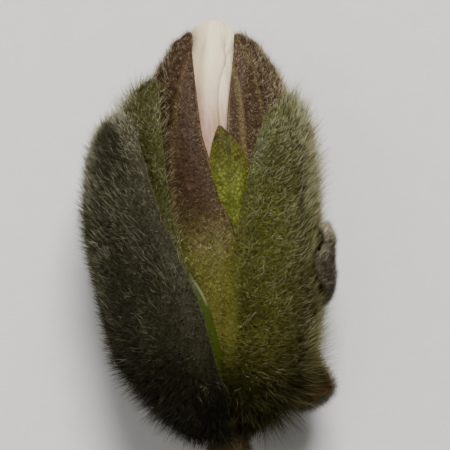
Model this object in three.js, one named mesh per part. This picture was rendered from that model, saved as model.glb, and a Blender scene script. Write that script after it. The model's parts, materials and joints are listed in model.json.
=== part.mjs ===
// An opening saucer magnolia flower bud on a short cut twig, lying on its back.
//
// Millimetres, +Z up. +Y runs along the bud from the twig to the tip, +X is the bud's right
// as seen from above, and the origin is the middle of the flat spot on which the bud rests.
//
// A bud is a set of layers round one axis, each wrapped closely over the next: the pressed
// tepals, the brown inner scale with its young leaf, the green middle scale, and what is
// left of the outer scale. Each layer is a thin wall, drawn on a form of its own.
// Heights are measured along the axis from the foot of the bud. An angle round the axis is 0
// where a layer faces the viewer above, and grows to the right.
import * as THREE from 'three';

// ---- Driving dimensions -------------------------------------------------------------------

const BUD_LENGTH = 42;
const AXIS_FOOT = 0.2; // sideways place of the axis at the bud's foot
const AXIS_LEAN = -1.6; // how far the axis leans to the left by the bud's tip
const REST_HEIGHT = 17.8; // height of the flat spot's middle along the bud
const REST_SIDE = -1; // its sideways place
const AXIS_ABOVE_FLOOR = 10.1; // the axis over the surface that the bud lies on

const SCALE_WALL = 0.7; // thickness of the outer and middle scales
const INNER_WALL = 0.6; // thickness of the inner scale
const TEPAL_WALL = 0.6; // thickness of the outer tepals
const LEAF_WALL = 0.6; // thickness of the young leaf
const CLEARANCE = 0.3; // air between one layer and the next

const TWIG_LENGTH = 25; // from the bud's foot to the cut end
const TWIG_RADIUS = 1.9;

const DEGREE = Math.PI / 180;
const FULL_TURN = 2 * Math.PI;

// The form of each layer: [height, half width, half depth], from its foot on the stalk up.
const OUTER_FORM = [
  [0, 2.4, 2.4], [0.35, 3.5, 3.4], [1, 4.4, 4.3], [2, 5.4, 5.3], [4, 7.2, 7.0], [6, 8.6, 8.3],
  [9, 9.8, 9.6], [14, 10.5, 10.2], [19, 10.8, 10.25], [24, 10.7, 10.2], [29, 10.6, 9.9],
  [31, 10.45, 9.6], [32, 10.15, 9.3], [33, 9.6, 8.8],
];
const MIDDLE_FORM = [
  [1.2, 2.4, 2.4], [1.6, 3.3, 3.2], [2.5, 4.3, 4.1], [4, 5.8, 5.6], [6, 7.3, 7.1],
  [9, 8.6, 8.4], [14, 9.4, 9.1], [19, 9.75, 9.15], [24, 9.6, 9.15], [29, 9.5, 8.9],
  [32, 9.0, 8.1], [34.5, 8.2, 7.3], [36.5, 7.3, 6.6],
];
const INNER_FORM = [
  [2.4, 2.3, 2.3], [2.75, 3.0, 2.9], [4, 4.1, 3.9], [6, 5.3, 5.0], [10, 6.7, 6.1],
  [15, 7.5, 6.8], [20, 8.1, 7.05], [25, 8.3, 7.2], [30, 7.9, 7.0], [34, 7.1, 6.4],
  [36, 6.35, 5.85], [39, 4.55, 4.3], [40.4, 3.6, 3.4], [41.4, 2.95, 2.8],
];
const TEPAL_FORM = [
  [3.8, 2.1, 2.1], [4.2, 2.8, 2.7], [6, 3.9, 3.7], [10, 5.3, 4.8], [15, 6.3, 5.6],
  [20, 6.9, 5.85], [25, 7.1, 6.05], [30, 6.7, 5.85], [34, 5.85, 5.25], [36, 5.05, 4.65],
  [38, 3.9, 3.65], [39.5, 2.95, 2.75], [40.6, 2.35, 2.2], [41.4, 1.85, 1.7], [42, 1.2, 1.1],
];
const HEART_FORM = [
  [5.4, 0.5, 0.5], [6, 1.7, 1.6], [10, 2.9, 2.5], [15, 3.9, 3.3], [20, 4.5, 3.55],
  [25, 4.7, 3.75], [30, 4.3, 3.5], [34, 3.4, 2.9], [36, 2.6, 2.2], [38, 1.5, 1.3],
  [39, 0.6, 0.5],
];

// Edges seen from above: [height, sideways place]. Negative is left.
const INNER_LEFT_EDGE = [
  [2.4, -0.15], [6, 0.3], [10, 0.9], [17, 0.9], [20, 0.75], [23.5, -0.5], [26, -1.3], [27.5, -1.8],
  [30, -2.3], [34, -2.9], [38, -3.4], [40.5, -3.7], [41.4, -3.6],
];
const INNER_RIGHT_EDGE = [
  [2.4, 0.4], [6, 0.8], [10, 1.4], [20, 1.3], [24, 0.5], [28, 0.1], [31.5, 0.1], [35, 0.4], [38, 0.75],
  [40.5, 1.0], [41.4, 0.9],
];
const MIDDLE_RIGHT_EDGE = [
  [1.2, 0.7], [4, 0.4], [6.5, 0.25], [10, 0.2], [14, 0.3], [17, 0.5], [20.5, 1.0], [22.8, 1.5],
  [25, 1.9], [28.5, 2.75], [31, 3.6], [33, 4.65], [34.5, 5.7],
];
const MIDDLE_LEFT_EDGE = [
  [1.2, 0.1], [4, -0.1], [6.5, -0.2], [9, -0.4], [11.5, -1.0], [14.4, -1.9], [16.8, -3.6],
  [19.5, -4.6], [22.4, -5.4], [28.4, -6.3], [36, -7.0],
];
const OUTER_LEFT_EDGE = [
  [0, 0.55], [1, 0.6], [4, 0.2], [6.5, -0.4], [9, -1.1], [12.5, -2.1], [15, -3.0], [17, -3.9],
  [19, -4.8], [21.5, -6.1], [24.5, -7.1], [27.5, -8.1], [31, -9.1],
];
const LEAF_LEFT_EDGE = [
  [6.5, 1.75], [10, 1.85], [18, 1.8], [20, 1.2], [21, 0.8], [23.5, -0.15], [26, -0.95],
  [27.5, -1.35], [29.2, -1.4], [30.4, -1.1], [31.2, -0.75],
];
const LEAF_RIGHT_EDGE = [
  [6.5, 2.7], [10, 2.8], [18, 2.75], [20, 2.2], [22.5, 2.0], [25, 2.25], [27.5, 2.35], [28.5, 1.95],
  [30, 0.85], [30.7, 0.2], [31.2, -0.45],
];
const TEPAL_FOLD = [
  [12, -0.6], [28, -0.6], [31.5, -0.75], [33, -1.0], [35, -0.95], [38, -0.15], [40, 0.1], [42, 0.1],
];

// ---- Curves and forms ---------------------------------------------------------------------

/** A smooth function through [x, y] pairs. It never overshoots them, and is flat outside. */
function smooth(pairs) {
  const last = pairs.length - 1;
  const rises = pairs.slice(1).map(([x, y], i) => (y - pairs[i][1]) / (x - pairs[i][0]));
  const slopes = pairs.map((_, i) => {
    if (i === 0) return rises[0];
    if (i === last) return rises[last - 1];
    const [before, after] = [rises[i - 1], rises[i]];
    return before * after <= 0 ? 0 : (2 * before * after) / (before + after);
  });
  return (x) => {
    if (x <= pairs[0][0]) return pairs[0][1];
    if (x >= pairs[last][0]) return pairs[last][1];
    const i = pairs.findIndex(([end]) => end > x) - 1;
    const [[x0, y0], [x1, y1]] = [pairs[i], pairs[i + 1]];
    const [width, t] = [x1 - x0, (x - x0) / (x1 - x0)];
    const [t2, t3] = [t * t, t * t * t];
    return (
      (2 * t3 - 3 * t2 + 1) * y0 + (3 * t2 - 2 * t3) * y1 +
      width * ((t3 - 2 * t2 + t) * slopes[i] + (t3 - t2) * slopes[i + 1])
    );
  };
}

/** Eases from 0 to 1 while x goes from start to end. */
const ease = (x, start, end) => THREE.MathUtils.smoothstep(x, start, end);
const mix = THREE.MathUtils.lerp;

const axisSide = (height) => AXIS_FOOT + (AXIS_LEAN * height) / BUD_LENGTH;

const WALK_STEPS = 400; // how finely a form is measured by arc length
const ANGLE_PASSES = 8; // how often an angle is corrected for the wall that stands proud there
const STEEPEST_SINE = 0.999;

/** One layer's form, walked by arc length from its foot (0) to its top (1). */
class Form {
  constructor(stations) {
    const points = stations.map(([height, width, depth]) => new THREE.Vector3(height, width, depth));
    this.curve = new THREE.CatmullRomCurve3(points, false, 'centripetal');
    this.walk = this.curve.getSpacedPoints(WALK_STEPS);
  }

  at(along) {
    const { x: height, y: width, z: depth } = this.curve.getPointAt(Math.min(along, 1));
    return { height, width, depth };
  }

  /** How far along the form a height lies. */
  reach(height) {
    const after = this.walk.findIndex((point) => point.x > height);
    if (after < 1) return after === 0 ? 0 : 1;
    const [low, high] = [this.walk[after - 1].x, this.walk[after].x];
    return (after - 1 + (height - low) / (high - low)) / (this.walk.length - 1);
  }
}

/** A layer of the bud: a form, and how far its wall stands proud of the form here and there. */
class Layer {
  constructor(stations, { proud = () => 0, shift = () => 0 } = {}) {
    this.form = new Form(stations);
    this.proud = proud;
    this.shift = shift;
  }

  point(along, angle, across = 0) {
    const { height, width, depth } = this.form.at(along);
    const stand = this.proud(height, angle, across);
    return new THREE.Vector3(
      axisSide(height) + this.shift(height) + (width + stand) * Math.sin(angle) - REST_SIDE,
      height - REST_HEIGHT,
      Math.max(AXIS_ABOVE_FLOOR + (depth + stand) * Math.cos(angle), 0),
    );
  }

  /** The angle at which the front of the layer passes a sideways place, after some turns. */
  angle(height, side, turns) {
    const { width } = this.form.at(this.form.reach(height));
    let angle = turns * FULL_TURN;
    for (let pass = 0; pass < ANGLE_PASSES; pass += 1) {
      const reach = width + this.proud(height, angle, turns);
      const sine = (side - axisSide(height) - this.shift(height)) / reach;
      const safeSine = THREE.MathUtils.clamp(sine, -STEEPEST_SINE, STEEPEST_SINE);
      angle = Math.asin(safeSine) + turns * FULL_TURN;
    }
    return angle;
  }

  /** An edge given by its sideways places, as a function from height to angle. */
  edge(pairs, turns = 0) {
    const side = smooth(pairs);
    return (height) => this.angle(height, side(height), turns);
  }
}

/** Angles in degrees by height. */
function bearing(pairs) {
  const degrees = smooth(pairs);
  return (height) => degrees(height) * DEGREE;
}

// ---- Solids -------------------------------------------------------------------------------

/** A closed body from a grid of outer points, a grid of inner points and the rim between. */
function closedWall(outer, inner) {
  const [rows, columns] = [outer.length, outer[0].length];
  const corner = (grid, row, column) => grid * rows * columns + row * columns + column;
  const faces = [];
  const quad = (a, b, c, d) => faces.push(a, b, c, a, c, d);
  for (let row = 0; row < rows - 1; row += 1) {
    for (let column = 0; column < columns - 1; column += 1) {
      const around = [[row, column], [row, column + 1], [row + 1, column + 1], [row + 1, column]];
      quad(...around.map(([r, c]) => corner(0, r, c)));
      const [a, b, c, d] = around.map(([r, c2]) => corner(1, r, c2));
      faces.push(a, c, b, a, d, c);
    }
  }
  const rim = [];
  for (let column = 0; column < columns - 1; column += 1) rim.push([0, column]);
  for (let row = 0; row < rows - 1; row += 1) rim.push([row, columns - 1]);
  for (let column = columns - 1; column > 0; column -= 1) rim.push([rows - 1, column]);
  for (let row = rows - 1; row > 0; row -= 1) rim.push([row, 0]);
  rim.forEach(([row, column], i) => {
    const [nextRow, nextColumn] = rim[(i + 1) % rim.length];
    quad(
      corner(0, nextRow, nextColumn), corner(0, row, column),
      corner(1, row, column), corner(1, nextRow, nextColumn),
    );
  });
  const geometry = new THREE.BufferGeometry().setFromPoints([...outer.flat(), ...inner.flat()]);
  geometry.setIndex(faces);
  geometry.computeVertexNormals();
  return geometry;
}

const NUDGE = 1e-3; // the step over which a wall's own slope is measured

/**
 * A scale, tepal or leaf: a thin wall on a layer. It spans the rising angles from
 * first(height) to last(height) and ends at height top(across), where across goes from 0 at
 * its first edge to 1 at its last.
 */
function wall({ layer, rows, columns, thickness, first, last, top, foot = 0, relief = () => 0 }) {
  const surface = (rise, across) => {
    const along = mix(foot, layer.form.reach(top(across)), rise);
    const { height } = layer.form.at(along);
    return layer.point(along, mix(first(height), last(height), across), across);
  };
  const outer = [];
  const inner = [];
  for (let row = 0; row <= rows; row += 1) {
    outer.push([]);
    inner.push([]);
    for (let column = 0; column <= columns; column += 1) {
      const [rise, across] = [row / rows, column / columns];
      const up = surface(Math.min(rise + NUDGE, 1), across)
        .sub(surface(Math.max(rise - NUDGE, 0), across));
      const over = surface(rise, Math.min(across + NUDGE, 1))
        .sub(surface(rise, Math.max(across - NUDGE, 0)));
      const outward = over.cross(up).normalize();
      const point = surface(rise, across).addScaledVector(outward, relief(rise, across));
      outer[row].push(point);
      inner[row].push(point.clone().addScaledVector(outward, -thickness));
    }
  }
  return closedWall(outer, inner);
}

/** A solid from rings of points along a line, closed by a fan at each end. */
function rod(rings, firstEnd, lastEnd) {
  const sides = rings[0].length;
  const points = [...rings.flat(), firstEnd, lastEnd];
  const faces = [];
  for (let ring = 0; ring < rings.length - 1; ring += 1) {
    for (let side = 0; side < sides; side += 1) {
      const next = (side + 1) % sides;
      const [a, b] = [ring * sides + side, ring * sides + next];
      faces.push(a, b, b + sides, a, b + sides, a + sides);
    }
  }
  for (let side = 0; side < sides; side += 1) {
    const next = (side + 1) % sides;
    const top = (rings.length - 1) * sides;
    faces.push(points.length - 2, next, side, points.length - 1, top + side, top + next);
  }
  const geometry = new THREE.BufferGeometry().setFromPoints(points);
  geometry.setIndex(faces);
  geometry.computeVertexNormals();
  return geometry;
}

// ---- Finishes -----------------------------------------------------------------------------

const finish = (color, roughness = 0.85) =>
  new THREE.MeshStandardMaterial({ color, roughness, metalness: 0 });

const TEPAL = finish(0xe9e2d8, 0.5);
const BROWN_SCALE = finish(0x5f4a35);
const GREEN_SCALE = finish(0x76764a);
const GREY_SCALE = finish(0x5c5a40);
const DRY_SCALE = finish(0x6b4c30);
const LEAF = finish(0x93a02f, 0.7);
const BARK = finish(0x7b6138);

// ---- The pieces ---------------------------------------------------------------------------

const TWIG_SIDES = 16;
const RING_SCARS = [-1.2, -2.6, -4.4, -15.5, -16.6];
const SCAR_HEIGHT = 0.16;
const SCAR_WIDTH = 0.35;
const TWIG_BEND = 0.0016; // sideways, by the square of the distance below the bud
const PLAIN_STEP = 1.8; // between rings where the twig is plain
const SCAR_STEP = 0.4; // and where it has scars
const LOWER_SCARS = [-17.2, -14.8];
const UPPER_SCARS = [-5, 0];
const RECEPTACLE_RINGS = [0, 1.2, 2.4, 3.8, 4.6];
const RECEPTACLE_TOP = 4.9;

const twigRadius = smooth([
  [-TWIG_LENGTH, 2.05], [-16, 2.1], [-10, 1.85], [-3, 1.95], [0, TWIG_RADIUS],
  [1.2, 1.85], [2.4, 1.75], [3.8, 1.6], [4.6, 1.3],
]);

/** Numbers from start up to just below end. */
function steps(start, end, step) {
  const count = Math.ceil((end - start) / step - NUDGE);
  return Array.from({ length: count }, (_, i) => start + i * step);
}

/** The stalk: a cut twig with the ring scars of shed scales, running up into the bud. */
function twig() {
  const scar = (height) => RING_SCARS.reduce(
    (sum, place) => sum + SCAR_HEIGHT * Math.exp(-(((height - place) / SCAR_WIDTH) ** 2)), 0);
  const bend = (height) => (height < 0 ? TWIG_BEND * height * height : 0);
  const centre = (height) => new THREE.Vector3(
    axisSide(height) + bend(height) - REST_SIDE, height - REST_HEIGHT, AXIS_ABOVE_FLOOR,
  );
  const heights = [
    ...steps(-TWIG_LENGTH, LOWER_SCARS[0], PLAIN_STEP),
    ...steps(...LOWER_SCARS, SCAR_STEP),
    ...steps(LOWER_SCARS[1] + SCAR_STEP, UPPER_SCARS[0], PLAIN_STEP),
    ...steps(...UPPER_SCARS, SCAR_STEP),
    ...RECEPTACLE_RINGS,
  ];
  const rings = heights.map((height) =>
    Array.from({ length: TWIG_SIDES }, (_, side) => {
      const angle = (side / TWIG_SIDES) * FULL_TURN;
      const reach = twigRadius(height) + scar(height);
      return centre(height).add(
        new THREE.Vector3(reach * Math.sin(angle), 0, reach * Math.cos(angle)),
      );
    }));
  return rod(rings, centre(-TWIG_LENGTH), centre(RECEPTACLE_TOP));
}

// Each outer tepal lies over the one before it at its last edge and slips under the next at
// its first, where it dips. Near the foot and the tip the tepals stand side by side, so the
// lap narrows to a gap there: its width is in degrees, negative where there is none.
const TEPAL_DIP = 1.1;
const TEPAL_TOPS = [42, 39.8, 41.7];
const TEPAL_TURN = FULL_TURN / TEPAL_TOPS.length;
const dip = (height) => TEPAL_DIP * ease(height, 5, 9) * (1 - ease(height, 38.8, 40.5));
const lapWidth = smooth([[5, -12], [9, -6], [14, 18], [37, 18], [39, -12], [41, -20]]);
const tepalLayer = new Layer(TEPAL_FORM, {
  proud: (height, angle, across) => -dip(height) * (1 - ease(across, 0.2, 0.85)),
});
const foldBearing = new Layer(TEPAL_FORM).edge(TEPAL_FOLD);

/** One of the three outer tepals: number 0 is in front, its last edge the visible fold. */
function outerTepal(number) {
  const edge = (count) => (height) =>
    (count % TEPAL_TOPS.length === 0 ? foldBearing(height) : 0) - count * TEPAL_TURN;
  const behind = edge(number + 1);
  return wall({
    layer: tepalLayer,
    rows: 20,
    columns: 14,
    thickness: TEPAL_WALL,
    first: (height) => behind(height) - lapWidth(height) * DEGREE,
    last: edge(number),
    top: () => TEPAL_TOPS[number],
  });
}

const HEART_SIDES = 18;
const HEART_LEVELS = 16;
const HEART_RIDGE = 0.35;
const HEART_TWIST = 0.05; // radians for each millimetre of height
const HEART_CAP = new THREE.Vector3(0, 0.15, 0);

/** The inner tepals, pressed into one pointed heart with their spiral edges as ridges. */
function innerTepals() {
  const layer = new Layer(HEART_FORM, {
    proud: (height, angle) => {
      const turns = (angle - HEART_TWIST * height) / FULL_TURN;
      const step = THREE.MathUtils.euclideanModulo(turns * TEPAL_TOPS.length, 1);
      return HEART_RIDGE * step * ease(height, 6, 12) * (1 - ease(height, 35, 38.5));
    },
  });
  const ring = (level) => Array.from({ length: HEART_SIDES }, (_, side) =>
    layer.point(level / HEART_LEVELS, (side / HEART_SIDES) * FULL_TURN));
  const rings = Array.from({ length: HEART_LEVELS + 1 }, (_, level) => ring(level));
  const middle = (points) =>
    points.reduce((sum, point) => sum.add(point), new THREE.Vector3()).divideScalar(HEART_SIDES);
  return rod(rings, middle(rings[0]).sub(HEART_CAP), middle(rings.at(-1)).add(HEART_CAP));
}

// The left side of the inner scale rides up in front, level with the leaf beside it.
const LAP_LIFT = 0.9;
const innerShift = (height) => 0.25 * ease(height, 30, 37);

/** The brown inner scale: a hood round the whole bud, split in front. */
function innerScale() {
  const liftByHeight = (height) => LAP_LIFT * ease(height, 5, 9) * (1 - ease(height, 29, 35));
  const layer = new Layer(INNER_FORM, {
    proud: (height, angle) => liftByHeight(height) * ease(angle, 285 * DEGREE, 350 * DEGREE),
    shift: innerShift,
  });
  return wall({
    layer,
    rows: 22,
    columns: 30,
    thickness: INNER_WALL,
    first: layer.edge(INNER_RIGHT_EDGE),
    last: layer.edge(INNER_LEFT_EDGE, 1),
    top: smooth([[0, 41.0], [0.5, 40.2], [0.8, 40.6], [1, 41.2]]),
  });
}

const LEAF_FOOT = 6.5;
const LEAF_TIP = 31.2;
const LEAF_HOLLOW = 0.1; // how deep the blade is folded along its middle
const QUILT = 0.05; // height of the swellings between its veins
const [QUILT_COLUMNS, QUILT_ROWS] = [3, 20];

/** The young leaf: a small blade out of the split, with its stalk down under the scales. */
function youngLeaf() {
  const layer = new Layer(INNER_FORM, { proud: () => CLEARANCE + LEAF_WALL, shift: innerShift });
  const blade = (rise) => ease(rise, 0.5, 0.65) * (1 - ease(rise, 0.88, 1));
  return wall({
    layer,
    rows: 26,
    columns: 8,
    thickness: LEAF_WALL,
    foot: layer.form.reach(LEAF_FOOT),
    first: layer.edge(LEAF_LEFT_EDGE),
    last: layer.edge(LEAF_RIGHT_EDGE),
    top: () => LEAF_TIP,
    relief: (rise, across) => {
      const fold = 1 - Math.abs(2 * across - 1);
      const swelling = Math.sin(across * QUILT_COLUMNS * FULL_TURN)
        * Math.sin(rise * QUILT_ROWS * FULL_TURN);
      return blade(rise) * (QUILT * swelling - LEAF_HOLLOW * fold);
    },
  });
}

/** The green middle scale: a hood split in front, with a lobe on each side. */
function middleScale() {
  const layer = new Layer(MIDDLE_FORM, {
    proud: (height, angle) =>
      0.5 * ease(height, 27, 34) * ease(angle, 230 * DEGREE, 270 * DEGREE),
  });
  return wall({
    layer,
    rows: 22,
    columns: 34,
    thickness: SCALE_WALL,
    first: layer.edge(MIDDLE_RIGHT_EDGE),
    last: layer.edge(MIDDLE_LEFT_EDGE, 1),
    top: smooth([
      [0, 33.7], [0.04, 34.3], [0.09, 34.6], [0.15, 34.3], [0.22, 33.2], [0.38, 29.8],
      [0.53, 28.5], [0.7, 30.5], [0.82, 34], [0.9, 35.5], [0.96, 36], [1, 35.8],
    ]),
  });
}

/** The left half of the outer scale, standing off the bud, with a rounded tip. */
function outerScale() {
  const splay = smooth([
    [3, 0], [6, 0.6], [9, 1.2], [14, 1.6], [19, 2.2], [24, 2.5], [29, 2.1], [31, 1.6], [33, 1.1],
  ]);
  const layer = new Layer(OUTER_FORM, {
    proud: (height, angle) => splay(height) * Math.max(0, -Math.sin(angle)) ** 2,
  });
  return wall({
    layer,
    rows: 22,
    columns: 22,
    thickness: SCALE_WALL,
    first: bearing([
      [0, -176], [5, -188], [10, -194], [20, -196], [24, -190], [27, -168], [30, -135], [32, -110],
    ]),
    last: layer.edge(OUTER_LEFT_EDGE),
    top: smooth([
      [0, 25], [0.25, 28], [0.42, 31], [0.55, 32.3], [0.7, 32.8], [0.82, 32.7], [0.93, 32], [1, 30.9],
    ]),
  });
}

const CURL = 0.45; // how far the dried margin curls in and out
const CURL_PITCH = 1.3; // radians for each millimetre of height

/** The withered right half of the outer scale: a curled dry rag beside the middle scale. */
function driedScale() {
  const splay = smooth([
    [0, 0], [1, 0.3], [3, 1.5], [5.5, 2.2], [8, 1.2], [11, 0.4], [14, 0.6], [18, 0.8], [22, 0.7],
  ]);
  const curl = (height, across) =>
    CURL * ease(height, 3, 6) * (1 - across) ** 3 * Math.sin(height * CURL_PITCH);
  const layer = new Layer(OUTER_FORM, {
    proud: (height, angle, across) => splay(height) + curl(height, across),
  });
  return wall({
    layer,
    rows: 24,
    columns: 12,
    thickness: LEAF_WALL,
    first: bearing([
      [0, 135], [2, 135], [3.4, 115], [4.6, 96], [6, 92], [8, 108], [11, 126], [13, 104],
      [15, 76], [17, 69], [19.5, 71], [21.3, 80],
    ]),
    last: bearing([[0, 162], [4, 158], [10, 158], [18, 152], [21.6, 136]]),
    top: smooth([[0, 21.2], [0.3, 21.6], [0.6, 20.4], [1, 18.5]]),
  });
}

// ---- The bud ------------------------------------------------------------------------------

const group = new THREE.Group();

function add(name, geometry, material) {
  const mesh = new THREE.Mesh(geometry, material);
  mesh.name = name;
  group.add(mesh);
}

add('twig', twig(), BARK);
['tepal_front', 'tepal_left_back', 'tepal_right'].forEach((name, number) =>
  add(name, outerTepal(number), TEPAL));
add('inner_tepals', innerTepals(), TEPAL);
add('inner_scale', innerScale(), BROWN_SCALE);
add('young_leaf', youngLeaf(), LEAF);
add('middle_scale', middleScale(), GREEN_SCALE);
add('outer_scale', outerScale(), GREY_SCALE);
add('dried_scale', driedScale(), DRY_SCALE);

export default group;
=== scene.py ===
# %% [markdown]
# # The looks of an opening magnolia bud
# A magnolia keeps its flower bud warm in a coat of silky hairs. In spring the hairy scales
# split and the pale tepals show. This lesson dresses such a bud. Its pieces come from a packed
# CAD model, which fixes where everything is. Here they get fine surfaces, colours and the coat.
# Three things make the look: soft thin edges, mottled plant colours, and several hundred
# thousand hairs that are real geometry, because the coat is what a viewer sees first.

# %% Load the frame
import json
import math

import bmesh
import bpy
import numpy as np
from mathutils.bvhtree import BVHTree
from mathutils.kdtree import KDTree
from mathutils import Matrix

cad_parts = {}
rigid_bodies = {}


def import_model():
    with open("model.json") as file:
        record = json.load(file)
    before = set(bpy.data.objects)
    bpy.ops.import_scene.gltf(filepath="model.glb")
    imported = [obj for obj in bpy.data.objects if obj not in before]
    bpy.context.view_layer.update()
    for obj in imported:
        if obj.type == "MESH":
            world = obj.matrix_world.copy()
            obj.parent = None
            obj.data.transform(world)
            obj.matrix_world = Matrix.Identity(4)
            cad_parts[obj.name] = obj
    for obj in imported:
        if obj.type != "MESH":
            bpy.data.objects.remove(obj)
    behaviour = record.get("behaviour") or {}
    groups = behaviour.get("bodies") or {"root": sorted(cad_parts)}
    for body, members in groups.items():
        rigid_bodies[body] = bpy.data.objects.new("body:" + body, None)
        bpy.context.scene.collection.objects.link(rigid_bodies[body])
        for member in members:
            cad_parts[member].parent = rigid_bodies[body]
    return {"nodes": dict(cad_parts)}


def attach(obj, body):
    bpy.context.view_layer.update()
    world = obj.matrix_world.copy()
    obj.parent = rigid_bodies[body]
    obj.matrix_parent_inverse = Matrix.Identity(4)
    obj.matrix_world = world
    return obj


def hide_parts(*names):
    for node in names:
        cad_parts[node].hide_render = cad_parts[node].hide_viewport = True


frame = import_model()
bpy.ops.object.select_all(action="DESELECT")
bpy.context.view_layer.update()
print("nodes:", sorted(frame["nodes"]))

# %% [markdown]
# ## Measures
# Blender works in metres, but a bud is easier to think of in millimetres, so every array of
# points below is in millimetres and is only turned into metres when it goes into a mesh.
# The bud lies on its back. Y runs along it, X across it, and Z up to the viewer. Its layers
# wrap round one slightly leaning axis, so a place on the bud is best given by its height along
# the axis and its bearing round it: 0 degrees faces the viewer and 90 is the bud's right.

# %% Heights and bearings on the bud
MM = 0.001
FOOT = np.array([1.2, -17.8, 10.1])  # where the axis starts, at the top of the twig
TIP = np.array([-0.4, 24.2, 10.1])  # where it ends, at the tip of the tepals
BUD_LENGTH = TIP[1] - FOOT[1]
CORE = (9.0, 31.0)  # heights between which the bud is a barrel, with its bowl and dome beyond


def height_of(points):
    """How far along the bud each point lies, in millimetres from the foot."""
    return points[:, 1] - FOOT[1]


def axis_at(heights):
    """The points of the axis at these heights."""
    return FOOT + np.outer(heights / BUD_LENGTH, TIP - FOOT)


def from_axis(points):
    """The arrows from the axis straight out to the points."""
    return points - axis_at(height_of(points))


def from_core(points):
    """The arrows out of the bud's core, which also point down and out under its foot."""
    return points - axis_at(np.clip(height_of(points), *CORE))


def bearing_of(points):
    """Degrees round the axis, from -180 to 180: 0 is in front, and the right is positive."""
    arrows = from_axis(points)
    return np.degrees(np.arctan2(arrows[:, 0], arrows[:, 2]))


def unit(arrows):
    """The same arrows, each one millimetre long."""
    return arrows / np.maximum(np.linalg.norm(arrows, axis=1, keepdims=True), 1e-9)


def ease(values, start, end):
    """Goes smoothly from 0 to 1 while the values go from start to end."""
    share = np.clip((values - start) / (end - start), 0, 1)
    return share * share * (3 - 2 * share)


def ripple(points, size, seed, waves=14):
    """A smooth random field of about -1 to 1, with bumps about `size` millimetres across."""
    random = np.random.default_rng(seed)
    headings = unit(random.normal(size=(waves, 3)))
    lengths = 2 * size * random.uniform(0.7, 1.6, waves)
    turns = points @ (headings / lengths[:, None]).T + random.uniform(0, 1, waves)
    return np.sin(2 * np.pi * turns).sum(axis=1) / math.sqrt(waves)


print("the bud is", round(BUD_LENGTH, 1), "mm long")

# %% [markdown]
# ## Camera
# The view is straight down on the bud, from far away with a long lens, so that nothing looks
# distorted. The frame is 45 mm wide and cuts the twig off just below the bud.

# %% Camera
VIEW_CENTRE = (0.9, 3.7, 10.1)  # what the camera looks at
VIEW_WIDTH = 45.0  # width of the frame at that place
LENS = 180.0
SENSOR = 36.0

view_distance = VIEW_WIDTH * LENS / SENSOR
bpy.ops.object.camera_add(
    location=(VIEW_CENTRE[0] * MM, VIEW_CENTRE[1] * MM, (VIEW_CENTRE[2] + view_distance) * MM),
    rotation=(0, 0, 0),
)
camera = bpy.context.object
camera.name = "camera"
camera.data.lens = LENS
camera.data.sensor_width = SENSOR
camera.data.clip_start = 0.01
camera.data.clip_end = 10
bpy.context.scene.camera = camera
print("camera", round(view_distance), "mm above the bud")

# %% [markdown]
# ## Light
# Fur needs soft light that still comes from one side: a small hard lamp would turn every hair
# into noise, and light from all round would flatten the forms. So one large lamp above the
# bud's top does the shading, a weaker one from the left keeps the dark side readable, and
# pale surroundings fill in the rest.

# %% Lamps and surroundings
LAMP_REACH = 0.55  # metres to a lamp, for each unit of its direction
SURROUNDINGS_COLOUR = (1.0, 0.98, 0.95, 1)
SURROUNDINGS_STRENGTH = 0.24


def soft_lamp(name, towards, width, power):
    """A square lamp that hangs in a direction from the bud and shines on it."""
    bpy.ops.object.light_add(type="AREA", location=[LAMP_REACH * part for part in towards])
    lamp = bpy.context.object
    lamp.name = name
    lamp.data.size = width
    lamp.data.energy = power
    aim = lamp.location.to_track_quat("Z", "Y")
    lamp.rotation_euler = aim.to_euler()
    return lamp


key = soft_lamp("key_light", (0.12, 0.90, 1.10), width=0.3, power=12)
fill = soft_lamp("fill_light", (-0.7, 0.1, 0.9), width=0.5, power=1.0)

world = bpy.data.worlds.new("surroundings")
world.use_nodes = True
background = world.node_tree.nodes["Background"].inputs
background["Color"].default_value = SURROUNDINGS_COLOUR
background["Strength"].default_value = SURROUNDINGS_STRENGTH
bpy.context.scene.world = world
print("lights:", key.name, fill.name)

# %% [markdown]
# ## Writing materials
# A plant's colour is many thin patterns on top of each other, and in the node editor such a
# stack soon becomes a web. The small class below wraps one output of a node, so that the sums
# can be written as ordinary Python: adding two wires adds the Math node that does it.


# %% A socket that can be calculated with
class Wire:
    """One output in a material's node tree. Numbers add, multiply and subtract as in Python."""

    def __init__(self, paint, socket):
        self.paint = paint
        self.socket = socket

    def of(self, name):
        """Another output of the same node."""
        return Wire(self.paint, self.socket.node.outputs[name])

    def __add__(self, other):
        return self.paint.maths("ADD", self, other)

    def __sub__(self, other):
        return self.paint.maths("SUBTRACT", self, other)

    def __rsub__(self, other):
        return self.paint.maths("SUBTRACT", other, self)

    def __mul__(self, other):
        return self.paint.maths("MULTIPLY", self, other)

    def __truediv__(self, other):
        return self.paint.maths("DIVIDE", self, other)

    def __pow__(self, other):
        return self.paint.maths("POWER", self, other)

    def __abs__(self):
        return self.paint.maths("ABSOLUTE", self)

    __radd__ = __add__
    __rmul__ = __mul__

    def between(self, start, end):
        """Goes smoothly from 0 to 1 while the value goes from start to end."""
        setting = {"interpolation_type": "SMOOTHSTEP"}
        sockets = {"Value": self, "From Min": start, "From Max": end}
        if start > end:
            sockets.update({"From Min": end, "From Max": start, "To Min": 1.0, "To Max": 0.0})
        return self.paint.add("ShaderNodeMapRange", setting, sockets)


print("numbers in a material can be calculated with")

# %% [markdown]
# ### Adding nodes
# A second class holds one new material. All its nodes come from one method, and the patterns
# that the bud needs again and again are methods too: noise, colour ramps, and the height and
# the bearing of a place on the bud. Patterns are laid out in the object's own millimetres, so
# they stay in place when the piece is exported.

# %% A material and its nodes
NOISE_ROUGHNESS = 0.55


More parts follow.
